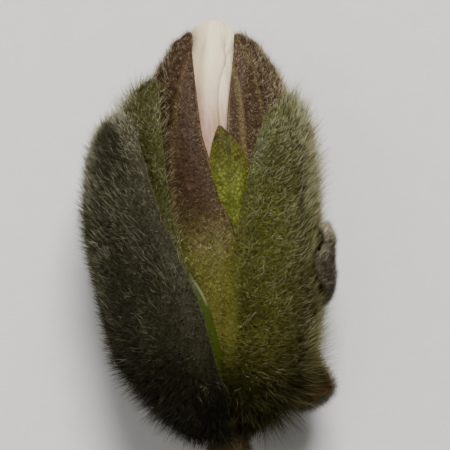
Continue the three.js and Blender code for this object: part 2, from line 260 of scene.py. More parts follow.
class Paint:
    """A new material, and the nodes that make its pattern."""

    def __init__(self, name):
        self.material = bpy.data.materials.new(name)
        self.material.use_nodes = True
        self.tree = self.material.node_tree
        self.tree.nodes.clear()
        place = self.add("ShaderNodeTexCoord").of("Object")
        setting = {"operation": "SCALE"}
        self.place = self.add("ShaderNodeVectorMath", setting, {0: place, "Scale": 1 / MM})

    def add(self, kind, settings=None, sockets=None):
        """Adds a node, sets its settings first and then its sockets, and gives its output."""
        node = self.tree.nodes.new(kind)
        for name, value in (settings or {}).items():
            if name == "stops":
                self.set_stops(node.color_ramp.elements, value)
            else:
                setattr(node, name, value)
        for name, value in (sockets or {}).items():
            if isinstance(value, Wire):
                self.tree.links.new(value.socket, node.inputs[name])
            else:
                node.inputs[name].default_value = value
        shown = [socket for socket in node.outputs if socket.enabled]
        return Wire(self, shown[0]) if shown else node

    @staticmethod
    def set_stops(elements, stops):
        """Gives a colour ramp its stops: (place, colour) pairs."""
        while len(elements) < len(stops):
            elements.new(1)
        for element, (place, colour) in zip(elements, stops):
            element.position = place
            element.color = (*colour, 1)

    def maths(self, operation, first, second=0.0):
        return self.add("ShaderNodeMath", {"operation": operation}, {0: first, 1: second})

    def split(self, place=None):
        """The three coordinates of a place, the object's own if none is given."""
        parts = self.add("ShaderNodeSeparateXYZ", None, {0: place or self.place})
        return parts.of("X"), parts.of("Y"), parts.of("Z")

    def noise(self, size, detail=3.0, stretch=(1, 1, 1), place=None):
        """Cloudy noise from 0 to 1, with lumps of about `size` millimetres times the stretch."""
        scale = [1 / (size * part) for part in stretch]
        setting = {"operation": "MULTIPLY"}
        where = self.add("ShaderNodeVectorMath", setting, {0: place or self.place, 1: scale})
        sockets = {"Vector": where, "Scale": 1.0, "Detail": detail,
                   "Roughness": NOISE_ROUGHNESS}
        return self.add("ShaderNodeTexNoise", None, sockets)

    def mix(self, share, first, second):
        """A colour between two colours. Either may be a plain colour or a wire."""
        ends = [end if isinstance(end, Wire) else (*end, 1) for end in (first, second)]
        sockets = {0: share, 6: ends[0], 7: ends[1]}
        return self.add("ShaderNodeMix", {"data_type": "RGBA"}, sockets)

    def ramp(self, share, stops):
        return self.add("ShaderNodeValToRGB", {"stops": stops}, {0: share})

    def attribute(self, name):
        """A number that is stored on the mesh's points."""
        return self.add("ShaderNodeAttribute", {"attribute_name": name}).of("Fac")

    def bearing(self):
        """Turns round the bud's axis, from -0.5 to 0.5, with 0 in front."""
        x, y, z = self.split()
        lean = (TIP[0] - FOOT[0]) / BUD_LENGTH
        sideways = x - FOOT[0] - (y - FOOT[1]) * lean
        return self.maths("ARCTAN2", sideways, z - FOOT[2]) / (2 * math.pi)

    def height(self):
        """Millimetres along the bud from its foot."""
        return self.split()[1] - FOOT[1]

    def finish(self, colour, roughness, relief=None, depth=0.05, **constants):
        """Closes the material. The relief is a height pattern, and depth its millimetres."""
        sockets = {"Base Color": colour, "Roughness": roughness}
        sockets.update({name.replace("_", " "): value for name, value in constants.items()})
        if relief is not None:
            bump = {"Height": relief, "Strength": 1.0, "Distance": depth * MM}
            sockets["Normal"] = self.add("ShaderNodeBump", None, bump)
        shader = self.add("ShaderNodeBsdfPrincipled", None, sockets)
        self.add("ShaderNodeOutputMaterial", None, {"Surface": shader})
        return self.material


print("materials are written with Paint and Wire")

# %% [markdown]
# ## The surface under the bud
# A plain pale table top, large enough to run out of every view. It isn't part of the object.
# A trace of noise keeps it from looking like cut paper.

# %% Table top
TABLE_SIZE = 6.0

bpy.ops.mesh.primitive_plane_add(size=TABLE_SIZE, location=(0, 0, 0))
table_top = bpy.context.object
table_top.name = "table_top"
paint = Paint("pale_table")
cloud = paint.noise(3.0, detail=4)
tone = paint.mix(cloud, (0.60, 0.59, 0.57), (0.66, 0.65, 0.63))
table_top.data.materials.append(paint.finish(tone, 0.8))
print("table top", TABLE_SIZE, "m wide")

# %% [markdown]
# ## Fine surfaces
# The CAD solids are made of flat triangles, right for weight and contact but too coarse to
# look at. Their own meshes must stay as they are, so each piece starts as a copy. The copy's
# loose triangles are merged, paired into quads, and rounded by a Subdivision Surface. That
# keeps the form and turns each cut-off rim into the soft lip that a bud scale has. Finer
# shaping moves the points one by one. The first helpers read and write them as arrays.


# %% Read and write the points of a mesh
def pick(piece):
    """Makes one object the only selected and the active one."""
    bpy.ops.object.select_all(action="DESELECT")
    piece.select_set(True)
    bpy.context.view_layer.objects.active = piece


def points_of(piece, what="co"):
    """The mesh's points in millimetres, or their normals."""
    flat = np.empty(len(piece.data.vertices) * 3, np.float32)
    piece.data.vertices.foreach_get(what, flat)
    scale = MM if what == "co" else 1
    return flat.reshape(-1, 3).astype(float) / scale


def move_points(piece, points):
    """Writes the points back into the mesh. None goes below the table top."""
    points = points.copy()
    points[:, 2] = np.maximum(points[:, 2], 0)
    piece.data.vertices.foreach_set("co", (points * MM).astype(np.float32).ravel())
    piece.data.update()


def store(piece, name, values):
    """Keeps a number on each point of the mesh, for later cells and for the material."""
    layer = piece.data.attributes.new(name, "FLOAT", "POINT")
    layer.data.foreach_set("value", values.astype(np.float32))


def read(piece, name):
    """A number that is kept on each point, after any rounding a smooth blend of the first ones."""
    values = np.empty(len(piece.data.vertices), np.float32)
    piece.data.attributes[name].data.foreach_get("value", values)
    return values.astype(float)


def report(piece):
    print(f"{piece.name}: {len(piece.data.polygons)} faces")


print("points are read and written in millimetres")

# %% [markdown]
# ### A fine copy of a CAD node
# Two facts are marked on the copy while its points are still the CAD model's own: which side
# of the wall a point is on, because only the outer side is hairy, and if it lies on the rim,
# where the faces meet at a steep angle. Both are kept on the points and survive the rounding.

# %% Copy a node and round it
MERGE_WITHIN = 1e-6  # metres
RIM_ANGLE = math.radians(50)  # between the faces that meet along a rim


def mark_wall(piece):
    """Keeps on each point if it lies on the wall's outer side, and if it lies on its rim."""
    facing = (from_core(points_of(piece)) * points_of(piece, "normal")).sum(axis=1)
    store(piece, "outer", (facing > 0).astype(float))
    mesh = bmesh.new()
    mesh.from_mesh(piece.data)
    rim = [any(edge.calc_face_angle(0) > RIM_ANGLE for edge in vertex.link_edges)
           for vertex in mesh.verts]
    mesh.free()
    store(piece, "rim", np.array(rim, float))


def copy_of(node):
    """An own piece with the merged mesh of a CAD node, for which it stands from now on."""
    piece = bpy.data.objects.new(node + "_fine", frame["nodes"][node].data.copy())
    bpy.context.scene.collection.objects.link(piece)
    pick(piece)
    bpy.ops.mesh.customdata_custom_splitnormals_clear()
    bpy.ops.object.mode_set(mode="EDIT")
    bpy.ops.mesh.select_all(action="SELECT")
    bpy.ops.mesh.remove_doubles(threshold=MERGE_WITHIN)
    bpy.ops.mesh.tris_convert_to_quads()
    bpy.ops.object.mode_set(mode="OBJECT")
    bpy.ops.object.shade_smooth()
    piece.data.materials.clear()
    mark_wall(piece)
    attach(piece, "root")
    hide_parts(node)
    return piece


def subdivide(piece, levels):
    """Rounds a mesh with a Subdivision Surface, for good."""
    modifier = piece.modifiers.new("rounding", "SUBSURF")
    modifier.levels = modifier.render_levels = levels
    pick(piece)
    bpy.ops.object.modifier_apply(modifier=modifier.name)


print("CAD nodes can be copied and rounded")

# %% [markdown]
# ### Thin edges
# A scale or tepal runs out to a thin edge, but a CAD wall is as thick at its rim as elsewhere.
# A Bevel modifier would only break the corner, so near the rim the whole outer face is
# brought down towards the inner one. How far a point is from the rim is asked of a search
# tree, which finds the nearest of many points without trying them all.

# %% Distance from the rim
ON_RIM = 0.9  # a point lies on the rim if it carries more of the rim's mark than this


def tree_of(points):
    """A search tree for the nearest of the points."""
    tree = KDTree(len(points))
    for index, point in enumerate(points):
        tree.insert(point, index)
    tree.balance()
    return tree


def rim_distance(piece, places=None):
    """How far its own points, or other places, are from a piece's rim, in millimetres."""
    points = points_of(piece)
    rim = tree_of(points[read(piece, "rim") > ON_RIM])
    return np.array([rim.find(place)[2] for place in (points if places is None else places)])


def bevelled(points, outer, distance, depth, width):
    """Brings the outer face down towards the inner one near the rim, so that edges are thin."""
    down = depth * outer * (1 - ease(distance, 0, width))
    return points - unit(from_core(points)) * down[:, None]


print("edges can be thinned")

# %% [markdown]
# ## The tepals
# A magnolia's petals and sepals look alike and are called tepals. Three outer ones wrap the
# rest, each edge over the next. Only a wedge of the front one and a strip of the right one
# show in the split: waxy, cream-white, pinker towards the foot and the left edge, with faint
# veins that run up the tepal. At the blunt tip the tepals are gathered and slightly creased,
# with a small nub, so their tops are drawn in towards the axis. Veins, creases and nub are
# moves of the points along their normals, so they also show from the side.

# %% Tepal forms
TEPAL_BEVEL = 0.34
TEPAL_BEVEL_WIDTH = 1.2
GATHER_FROM = 40.9  # height where the tepals start to close over the tip
GATHERED = 0.9  # how far their tops come in, as a share of the way to the axis
TOP_STRETCH = 0.45  # how much the tops are drawn out upwards
NUB_PLACE = np.array([-1.9, 23.7, 12.0])
NUB_HEIGHT = 0.5
NUB_WIDTH = 0.45
VEINS_ROUND = 64
VEIN_HEIGHT = 0.012
UNEVEN = 0.04  # height of the creases at the top, and of slow waves all over
SWELL = 0.42  # how far the tepals bulge into the split between the flaps
SWELL_BEARINGS = (-23, -8, 14, 27)  # the split's left margin, its open part, its right margin
LAP_BEARING = 14  # where the front tepal's edge laps over the right one
LAP_LIFT = 0.42  # how far the right one is raised beside it


def gather(points):
    """Draws the tops of the tepals in and up, and domes them over the tip."""
    heights = height_of(points)
    arrows = from_axis(points)
    drawn = GATHERED * ease(heights, GATHER_FROM, BUD_LENGTH + 0.1)
    arrows *= (1 - drawn)[:, None]
    return axis_at(heights + TOP_STRETCH * ease(heights, 39.0, 41.8)) + arrows


def dress_tepal(node, lap_lift=0.0):
    """A fine tepal. The lift raises its outer face beside the lap of the one in front."""
    piece = copy_of(node)
    subdivide(piece, 2)
    points = points_of(piece)
    normals = points_of(piece, "normal")
    outer = read(piece, "outer")
    points = bevelled(points, outer, rim_distance(piece), TEPAL_BEVEL, TEPAL_BEVEL_WIDTH)
    heights = height_of(points)
    bearings = bearing_of(points)
    wander = 0.5 * ripple(points, 6.0, seed=5)
    veins = np.abs(np.sin(0.5 * VEINS_ROUND * np.radians(bearings) + wander)) ** 4
    creases = ease(heights, 39.5, 41.5) * ripple(points * (1, 0.35, 1), 0.6, seed=9)
    relief = VEIN_HEIGHT * veins * outer + UNEVEN * (creases + ripple(points, 3.0, seed=3))
    nub = NUB_HEIGHT * np.exp(-(((points - NUB_PLACE) / NUB_WIDTH) ** 2).sum(axis=1))
    left, open_from, open_to, right = SWELL_BEARINGS
    in_split = ease(bearings, left, open_from) * (1 - ease(bearings, open_to, right))
    bulge = SWELL * in_split * ease(heights, 28, 33) * (1 - ease(heights, 39, 41))
    beside_lap = 1 - ease(np.abs(bearings - LAP_BEARING), 16, 34)
    lift = lap_lift * beside_lap * ease(heights, 24, 29)
    relief += (nub + lift + bulge) * outer
    move_points(piece, gather(points + normals * relief[:, None]))
    report(piece)
    return piece


front_tepal = dress_tepal("tepal_front")
back_tepal = dress_tepal("tepal_left_back")
right_tepal = dress_tepal("tepal_right", LAP_LIFT)

# %% [markdown]
# ### Filling the tip
# A real bud is full up to its tip, where the tepals press on each other. CAD solids need a
# little air between them, and from the tip one would look into it. So the back tepal's top is
# raised, and the heart of inner tepals is drawn out along the axis and widened at its end,
# until they close the mouth from inside.

# %% The back tepal's top and the heart
BACK_RISE = 1.0  # how much higher the top of the back tepal is drawn
HEART_FROM = 35.0  # height from which the heart is drawn out
HEART_STRETCH = 1.5
HEART_BLUNT = 1.0  # how much thicker it gets up there, by its own thickness

points = points_of(back_tepal)
rise = BACK_RISE * ease(height_of(points), 36.5, 39.6)
move_points(back_tepal, points + np.outer(rise, (0, 1, 0)))

heart = copy_of("inner_tepals")
subdivide(heart, 1)
points = points_of(heart)
heights = height_of(points)
drawn_out = heights + (HEART_STRETCH - 1) * np.maximum(heights - HEART_FROM, 0)
thicker = 1 + HEART_BLUNT * ease(heights, 36.6, 38.8)
move_points(heart, axis_at(drawn_out) + from_axis(points) * thicker[:, None])
tepals = (front_tepal, back_tepal, right_tepal)
report(heart)

# %% [markdown]
# ### The tepals' finish
# A tepal is thick, wet tissue under a thin wax, so light goes a little way in: a small
# subsurface weight gives that glow, and a broad weak shine the wax. Its colour follows the
# bud's own coordinates: a pink blush that grows towards the foot and the left edge, and streaks
# that are long up the bud and short round it, cut to thin lines for the veins. Towards the foot
# the blush also darkens, partly as painted shade where the scales close over the tepals.

# %% Tepal finish
paint = Paint("waxy_tepal")
height = paint.height()
bearing = paint.bearing()
around = paint.add("ShaderNodeCombineXYZ", None, {0: bearing * 40, 1: height * 0.10, 2: 0.0})
streaks = paint.noise(0.55, detail=4, place=around)
veins = 1 - (abs(streaks - 0.5) * 9).between(0.0, 1.0)
grain = paint.noise(0.16, detail=2)
# the tepal's own pink, darkening towards the foot partly as painted shade under the scales
blush_and_shade = height.between(40.5, 28) * 0.95 + bearing.between(0.0, -0.07) * 0.35
blush_and_shade = blush_and_shade + paint.noise(2.2) * 0.25 - 0.12
cream = paint.mix(grain, (0.66, 0.575, 0.35), (0.79, 0.70, 0.44))
pink = paint.mix(grain, (0.31, 0.175, 0.11), (0.41, 0.245, 0.16))
skin = paint.mix(blush_and_shade.between(0.0, 1.0), cream, pink)
skin = paint.mix(veins * 0.3, skin, (0.58, 0.44, 0.36))
relief = veins * 0.3 + grain * 0.35
tepal_finish = paint.finish(
    skin, grain * 0.15 + 0.45, relief, depth=0.02, Specular_IOR_Level=0.3,
    Subsurface_Weight=0.12, Subsurface_Radius=(0.0012, 0.0008, 0.0005),
)
for piece in (*tepals, heart):
    piece.data.materials.append(tepal_finish)
print("finish:", tepal_finish.name)

# %% [markdown]
# ## The young leaf
# A small folded leaf stands in the split. It is a fresh yellow-green, darker and browner at
# its tip, and its surface is quilted: between the net of sunken veins it bulges in cells of
# about half a millimetre. The relief is real geometry, because at this size it also shows in
# the outline. A point lies on a vein where the two nearest of many scattered cell centres are
# equally far, so those two distances are what the quilting is made from.

# %% Cells between the veins
CELL_JITTER = 0.7  # how far a cell's centre is moved off its grid, in grid spacings


def nearest_two(places, spacing, spread, seed):
    """Distances from flat places to the two nearest cell centres of a jittered grid."""
    random = np.random.default_rng(seed)
    columns, rows = (np.arange(-half, half + spacing, spacing) for half in spread)
    grid = np.stack(np.meshgrid(columns, rows), axis=-1).reshape(-1, 2)
    centres = grid + random.uniform(-CELL_JITTER, CELL_JITTER, grid.shape) * spacing
    tree = tree_of([(*centre, 0) for centre in centres])
    found = [tree.find_n((*place, 0), 2) for place in places]
    return np.array([[hit[0][2], hit[1][2]] for hit in found])


print("cells can be scattered on a flat leaf")

# %% Leaf form
MIDRIB_BEARING = 8.0  # degrees, where the leaf's middle line runs
MIDRIB_WIDTH = 0.16
LEAF_MIDDLE = 22  # height of the middle of the blade
CELL = 0.36
CELL_SPREAD = (4.5, 13.0)  # half width and half length of the field of cells
QUILT_HEIGHT = 0.05
VEIN_DEPTH = 0.03
SIDE_VEIN_GAP = 1.5
SIDE_VEIN_RISE = 0.8  # how much a side vein climbs on its way to the margin
LEAF_WAVES = 0.07
LEAF_BEVEL = 0.3
LEAF_BEVEL_WIDTH = 0.8
TUCK = 0.42  # how far the blade's left margin reaches under the brown scale's flap

leaf = copy_of("young_leaf")
subdivide(leaf, 3)
points = points_of(leaf)
outer = read(leaf, "outer")
heights = height_of(points)
reach = np.linalg.norm(from_axis(points), axis=1)
across = np.radians(bearing_of(points) - MIDRIB_BEARING) * reach
flat = np.stack([across, heights - LEAF_MIDDLE], axis=1)
gaps = nearest_two(flat, CELL, CELL_SPREAD, seed=21)
quilt = ease(gaps[:, 1] - gaps[:, 0], 0.0, 0.2)
midrib = np.exp(-((across / MIDRIB_WIDTH) ** 2))
climb = heights - SIDE_VEIN_RISE * np.abs(across)
side_veins = 1 - ease(np.abs(np.sin(np.pi * climb / SIDE_VEIN_GAP)), 0.0, 0.22)
relief = QUILT_HEIGHT * quilt * (1 - 0.6 * side_veins) - VEIN_DEPTH * (midrib + side_veins)
relief += LEAF_WAVES * ripple(points, 1.1, seed=8)
normals = points_of(leaf, "normal")
points = bevelled(points, outer, rim_distance(leaf), LEAF_BEVEL, LEAF_BEVEL_WIDTH)
points += normals * (relief * outer)[:, None]
tucked = (1 - ease(across, -1.4, 0.4)) * ease(heights, 13, 17) * (1 - ease(heights, 27, 30))
points += tucked[:, None] * (-TUCK, 0, -0.5 * TUCK)
move_points(leaf, points)
# the quilting is kept for the finish: painted highlight on the bulges, painted shade in the veins
store(leaf, "quilt", quilt * (1 - 0.7 * side_veins) * (1 - 0.8 * midrib))
report(leaf)

# %% [markdown]
# ### The leaf's finish
# The quilting was kept on the points, so the finish can paint the bulges pale as a painted
# highlight and the veins between them dark as painted shade, exactly where they are. Patches
# and a fine pale grain go over that.

# %% Leaf finish
paint = Paint("fresh_leaf")
height = paint.height()
quilt_highlight_and_shade = paint.attribute("quilt")
grain = paint.noise(0.12, detail=3)
patches = paint.noise(0.9, detail=3)
# bulges lighter as painted highlight, veins darker as painted shade
low = paint.mix(quilt_highlight_and_shade, (0.034, 0.040, 0.003), (0.126, 0.136, 0.012))
high = paint.mix(quilt_highlight_and_shade, (0.016, 0.011, 0.001), (0.062, 0.043, 0.005))
skin = paint.mix(height.between(25.0, 30.5), low, high)
skin = paint.mix(patches.between(0.35, 0.75) * 0.45, skin, (0.07, 0.08, 0.003))
skin = paint.mix(grain.between(0.55, 0.8) * 0.4, skin, (0.42, 0.44, 0.18))
leaf_finish = paint.finish(
    skin, grain * 0.2 + 0.5, grain, depth=0.03, Specular_IOR_Level=0.12,
    Subsurface_Weight=0.05, Subsurface_Radius=(0.0006, 0.0008, 0.0002))
leaf.data.materials.append(leaf_finish)
print("finish:", leaf_finish.name)

# %% [markdown]
# ## The bud scales
# Four pieces are of one kind: a leathery scale, hairy outside and smooth inside. All get a
# fine surface, soft undulations and a few ribs that run up the scale, so one function makes
# them all. The relief ends before the rim, so that it doesn't fray the thinned edge.

# %% Scale forms
EDGE_BEVEL = 0.42
DRIED_BEVEL = 0.36  # the dried scale is thinned less
EDGE_WIDTH = 1.5
PIMPLES = 0.03  # height of the finest lumps


def dress_scale(node, ribs, rib_height, wave, seed, edge_bevel=EDGE_BEVEL):
    """Refines a scale and gives it waves, and ribs of some width at some bearings."""
    piece = copy_of(node)
    subdivide(piece, 2)
    points = points_of(piece)
    outer = read(piece, "outer")
    bearings = bearing_of(points)
    relief = wave * ripple(points * (1, 0.5, 1), 2.6, seed=seed)
    for place, width in ribs:
        away = (bearings - place + 180) % 360 - 180
        relief += rib_height * np.exp(-((away / width) ** 2))
    relief += PIMPLES * ripple(points, 0.5, seed=seed + 1)
    normals = points_of(piece, "normal")
    distance = rim_distance(piece)
    points = bevelled(points, outer, distance, edge_bevel, EDGE_WIDTH)
    relief *= ease(distance, 0, EDGE_WIDTH) * outer
    move_points(piece, points + normals * relief[:, None])
    report(piece)
    return piece


inner_scale = dress_scale(
    "inner_scale", ribs=[(22, 2.5), (42, 2.5), (-33, 3), (-60, 4)],
    rib_height=0.10, wave=0.07, seed=31)
middle_scale = dress_scale(
    "middle_scale", ribs=[(55, 5), (-60, 5), (110, 6), (180, 8)],
    rib_height=0.10, wave=0.10, seed=41)
outer_scale = dress_scale(
    "outer_scale", ribs=[(-50, 4), (-85, 4), (-130, 6)],
    rib_height=0.12, wave=0.12, seed=51)
dried_scale = dress_scale(
    "dried_scale", ribs=[(105, 2), (118, 2), (130, 2), (142, 2)],
    rib_height=0.12, wave=0.16, seed=61, edge_bevel=DRIED_BEVEL)

# %% [markdown]
# ### Fitting the brown scale
# The brown scale is soft and lies close to all that it touches, while the CAD walls keep some
# air. So it is moved a little: its left flap out to the leaf's margin, its mouth in towards
# the back of the tepals, and its foot out into the wedge between the middle scale's lobes,
# wherever there is room. How much room there is, a search tree of the lobes' surface tells.

# %% Fit the brown scale to its neighbours
FLAP_REACH = 0.35  # how far its left flap is drawn out to the leaf beside it
MOUTH_CLOSED = 0.32  # how much its mouth is drawn in round the back of the tepals
WEDGE_BULGE = 0.85  # how far its foot bulges into the wedge


def surface_tree(pieces):
    """A search tree of the pieces' surfaces, in millimetres."""
    points = []
    faces = []
    for piece in pieces:
        start = len(points)
        points.extend(map(tuple, points_of(piece)))
        faces.extend([start + index for index in face.vertices]
                     for face in piece.data.polygons)
    return BVHTree.FromPolygons(points, faces)


points = points_of(inner_scale)
heights = height_of(points)
bearings = bearing_of(points)
flap = ease(bearings, -26, -4) * (1 - ease(bearings, 20, 24))
flap *= ease(heights, 12, 16) * (1 - ease(heights, 27, 31))
at_back = ease(np.abs(bearings), 85, 130) * ease(heights, 36.5, 40.0)
drawn_in = from_axis(points) * (MOUTH_CLOSED * at_back)[:, None]
move_points(inner_scale, points + flap[:, None] * (FLAP_REACH, 0, 0) - drawn_in)

points = points_of(inner_scale)
heights = height_of(points)
lobes = surface_tree([middle_scale])
room = np.array([lobes.find_nearest(point)[3] for point in points])
bulge = ease(room, 0.3, 0.9) * ease(heights, 5, 8) * (1 - ease(heights, 17, 22))
bulge *= (points[:, 2] > FOOT[2]) * read(inner_scale, "outer")
move_points(inner_scale, points + unit(from_core(points)) * (WEDGE_BULGE * bulge)[:, None])
print("points that bulge into the wedge:", int((bulge > 0.5).sum()))

# %% [markdown]
# ### Curling the dried scale
# A withered scale curls over at its free edge, and what hangs loose sags. Every point of the
# upper flap is turned round the bud's axis, by an angle that changes with its height, so the
# straight edge becomes a ragged curl. A Simple Deform modifier would turn it evenly.

# %% Curl the dried scale
CURL = [  # height, and degrees by which the flap's edge is turned to the front there
    (10, 0), (14, 6), (16, 10), (18, 9), (19.3, 2), (20.2, 8), (21.6, 27),
]
CURL_TIGHTER = 0.35  # how much nearer to the bud the flap lies
RAG_SAG = 0.9  # how far the loose lower rag hangs towards the twig

points = points_of(dried_scale)
heights = height_of(points)
turn_heights, turns = np.array(CURL).T
free_edge = 1 - ease(bearing_of(points), 82, 120)
turned = np.radians(np.interp(heights, turn_heights, turns) * free_edge)
arrows = from_axis(points)
reach = np.linalg.norm(arrows, axis=1) - CURL_TIGHTER * ease(heights, 10, 14)
around = np.arctan2(arrows[:, 0], arrows[:, 2]) - turned
rolled = np.stack([reach * np.sin(around), arrows[:, 1], reach * np.cos(around)], axis=1)
points = axis_at(heights) + rolled
sagging = ease(points[:, 0], 7, 9.5) * ease(heights, 1, 4) * (1 - ease(heights, 6, 9.5))
move_points(dried_scale, points - np.outer(RAG_SAG * sagging, (0, 1, 0)))
print("its edge turns by up to", round(math.degrees(turned.max())), "degrees")

# %% [markdown]
# ### The scales' finishes
# Under the hairs each scale has its own skin: brown, olive, grey or withered. All are mottled
# with spots and with streaks that run up the scale, change colour at the foot, and are
# plainer inside. On the green and the grey scale the darker foot is partly painted shade. One
# function writes that pattern from a few colours. What is special to one scale, such as the
# brown one's pale ribs or the green one's bare strip, is mixed in after it.

# %% Scale finishes
SKIN_GLOSS = 0.12  # under wool a scale hardly shines


def scale_finish(name, dark, light, foot, inside, foot_from=16.0, foot_to=6.0):
    """A mottled, finely streaked scale: dark and light above, another colour at its foot. Where
    that colour is darker, it is partly painted shade.
    """
    paint = Paint(name)
    height = paint.height()
    bearing = paint.bearing()
    along = paint.add("ShaderNodeCombineXYZ", None, {0: bearing * 60, 1: height * 0.22, 2: 0.0})
    streaks = paint.noise(0.6, detail=4, place=along)
    spots = paint.noise(0.28, detail=3)
    skin = paint.mix(streaks * 0.6 + spots * 0.5 - 0.05, dark, light)
    skin = paint.mix(height.between(foot_from, foot_to), skin, paint.mix(spots, dark, foot))
    lining = paint.mix(streaks, inside, [0.6 * part for part in inside])
    skin = paint.mix(paint.attribute("outer"), lining, skin)
    return paint, skin, streaks, spots


paint, skin, streaks, spots = scale_finish(
    "woolly_brown_scale", dark=(0.020, 0.009, 0.004), light=(0.060, 0.033, 0.014),
    foot=(0.12, 0.115, 0.015), inside=(0.14, 0.09, 0.045), foot_from=25.0, foot_to=17.0)
bearing = paint.bearing() * 360
rib_lines = 0
for place, width, strength in ((22, 4.0, 1.0), (42, 3.5, 0.7), (-33, 4.0, 0.5)):
    rib_lines = rib_lines + (1 - abs(bearing - place).between(0.5, width)) * strength
skin = paint.mix(rib_lines * spots * 0.6, skin, (0.20, 0.15, 0.05))
inner_scale.data.materials.append(
    paint.finish(skin, 0.6, streaks * 0.6 + spots, depth=0.05, Specular_IOR_Level=SKIN_GLOSS))

# the darker foot of this skin is partly painted shade
paint, skin, streaks, spots = scale_finish(
    "silky_green_scale", dark=(0.020, 0.023, 0.004), light=(0.070, 0.075, 0.018),
    foot=(0.020, 0.017, 0.004), inside=(0.12, 0.14, 0.03), foot_from=9.0, foot_to=2.0)
bare_green = paint.mix(spots, (0.016, 0.027, 0.001), (0.034, 0.048, 0.001))
skin = paint.mix(paint.attribute("bare"), skin, bare_green)
lip = paint.attribute("from_rim").between(0.11, 0.04) * paint.attribute("lip_reach")
skin = paint.mix(lip * 0.5, skin, (0.20, 0.19, 0.11))
middle_scale.data.materials.append(
    paint.finish(skin, 0.5, streaks * 0.5 + spots, depth=0.04, Specular_IOR_Level=SKIN_GLOSS))

# the darker foot of this skin is partly painted shade
paint, skin, streaks, spots = scale_finish(
    "silky_grey_scale", dark=(0.014, 0.012, 0.006), light=(0.045, 0.040, 0.018),
    foot=(0.016, 0.010, 0.004), inside=(0.12, 0.12, 0.035), foot_from=10.0, foot_to=2.0)
outer_scale.data.materials.append(
    paint.finish(skin, 0.6, streaks * 0.5 + spots, depth=0.05, Specular_IOR_Level=SKIN_GLOSS))

paint, skin, streaks, spots = scale_finish(
    "withered_scale", dark=(0.026, 0.019, 0.010), light=(0.09, 0.075, 0.045),
    foot=(0.10, 0.06, 0.03), inside=(0.075, 0.034, 0.012), foot_from=9.0, foot_to=3.0)
dried_scale.data.materials.append(
    paint.finish(skin, 0.7, streaks + spots * 0.5, depth=0.08, Specular_IOR_Level=SKIN_GLOSS))
print("finishes:", [piece.data.materials[0].name for piece in
                    (inner_scale, middle_scale, outer_scale, dried_scale)])

# %% [markdown]
# ### The bare strip
# Where the outer scale once covered it, the left lobe of the middle scale never grew hairs:
# a bright green crescent shows there, with a thin dry lip along the very edge. The strip is
# found by its distance from the lobe's edge, which is known as places seen from above.

# %% Mark the bare strip and the lip
LOBE_EDGE = [  # height and sideways place of the left lobe's edge, in front
    (1.2, 0.1), (4, -0.1), (6.5, -0.2), (9, -0.4), (11.5, -1.0), (14.4, -1.9), (16.8, -3.6),
    (19.5, -4.6), (22.4, -5.4), (28.4, -6.3), (36, -7.0),
]
EDGE_SHIFT = 1.0  # from the bud's own sideways scale to X
BARE_ABOVE = 6.8  # the heights between which the strip shows
BARE_BELOW = 16.6
BARE_WIDTH = 1.4
BARE_OVERLAP = 0.4  # how far past the edge it is marked, so that the rim is bare too


def from_lobe_edge(points):
    """How far left of the lobe's edge the points lie, seen from above."""
    edge_heights, edge_places = np.array(LOBE_EDGE).T
    edge = np.interp(height_of(points), edge_heights, edge_places) + EDGE_SHIFT
    return edge - points[:, 0]


points = points_of(middle_scale)
heights = height_of(points)
behind_edge = from_lobe_edge(points)
facing_up = ease(points[:, 2], 14.0, 16.0) * (points[:, 0] < EDGE_SHIFT + 0.6)
near_edge = (behind_edge > -BARE_OVERLAP) * (1 - ease(behind_edge, BARE_WIDTH, BARE_WIDTH + 0.7))
in_reach = ease(heights, BARE_ABOVE - 1, BARE_ABOVE)
in_reach *= 1 - ease(heights, BARE_BELOW - 1, BARE_BELOW)
bare = near_edge * facing_up * in_reach
lip_heights = ease(heights, 13.4, 14.4) * (1 - ease(heights, 15.8, 16.8))
store(middle_scale, "bare", bare)
store(middle_scale, "lip_reach", facing_up * lip_heights)
store(middle_scale, "from_rim", rim_distance(middle_scale))
print("bare points:", int((bare > 0.5).sum()))

# %% [markdown]
# ## The twig
# Below the bud is its stalk: young brown bark with the ring scars of shed scales, pale pores,
# and short wool under the bud. The cut end is clean. Its flat face is inset twice, which
# makes the rings of a real cut: bark, green bast, pale wood and the pith. The wood lies a
# little behind the bark's edge and the pith behind the wood, and creases keep those steps
# crisp when the mesh is rounded.

# %% Twig form
CUT_PLACE = -42.8  # Y of the cut end
CUT_MIDDLE = 3.152  # X of its middle
BARK_WIDTH = 0.28
BARK_CREASE = 0.9
WOOD_WIDTH = 0.9
WOOD_DEPTH = 0.03
PITH_STEP = 0.1
PITH_CREASE = 0.6
PITH_DEPTH = 0.12
BARK_RELIEF = 0.05

twig = copy_of("twig")
pick(twig)
bpy.ops.object.mode_set(mode="EDIT")
bpy.ops.mesh.select_mode(type="FACE")
bpy.ops.mesh.select_all(action="DESELECT")
mesh = bmesh.from_edit_mesh(twig.data)
for face in mesh.faces:
    at_cut = face.calc_center_median().y < (CUT_PLACE + 0.2) * MM
    face.select_set(face.normal.y < -0.9 and at_cut)
bmesh.update_edit_mesh(twig.data)
bpy.ops.mesh.dissolve_faces()
bpy.ops.transform.edge_crease(value=BARK_CREASE)
bpy.ops.mesh.inset(thickness=BARK_WIDTH * MM)
bpy.ops.transform.translate(value=(0, WOOD_DEPTH * MM, 0))
bpy.ops.mesh.inset(thickness=WOOD_WIDTH * MM)
bpy.ops.transform.edge_crease(value=PITH_CREASE)
bpy.ops.mesh.inset(thickness=PITH_STEP * MM)
bpy.ops.transform.translate(value=(0, PITH_DEPTH * MM, 0))
bpy.ops.object.mode_set(mode="OBJECT")
subdivide(twig, 2)
points = points_of(twig)
normals = points_of(twig, "normal")
bark_only = 1 - ease(-normals[:, 1], 0.5, 0.8)
grooves = ripple(points * (1, 0.3, 1), 0.35, seed=71)
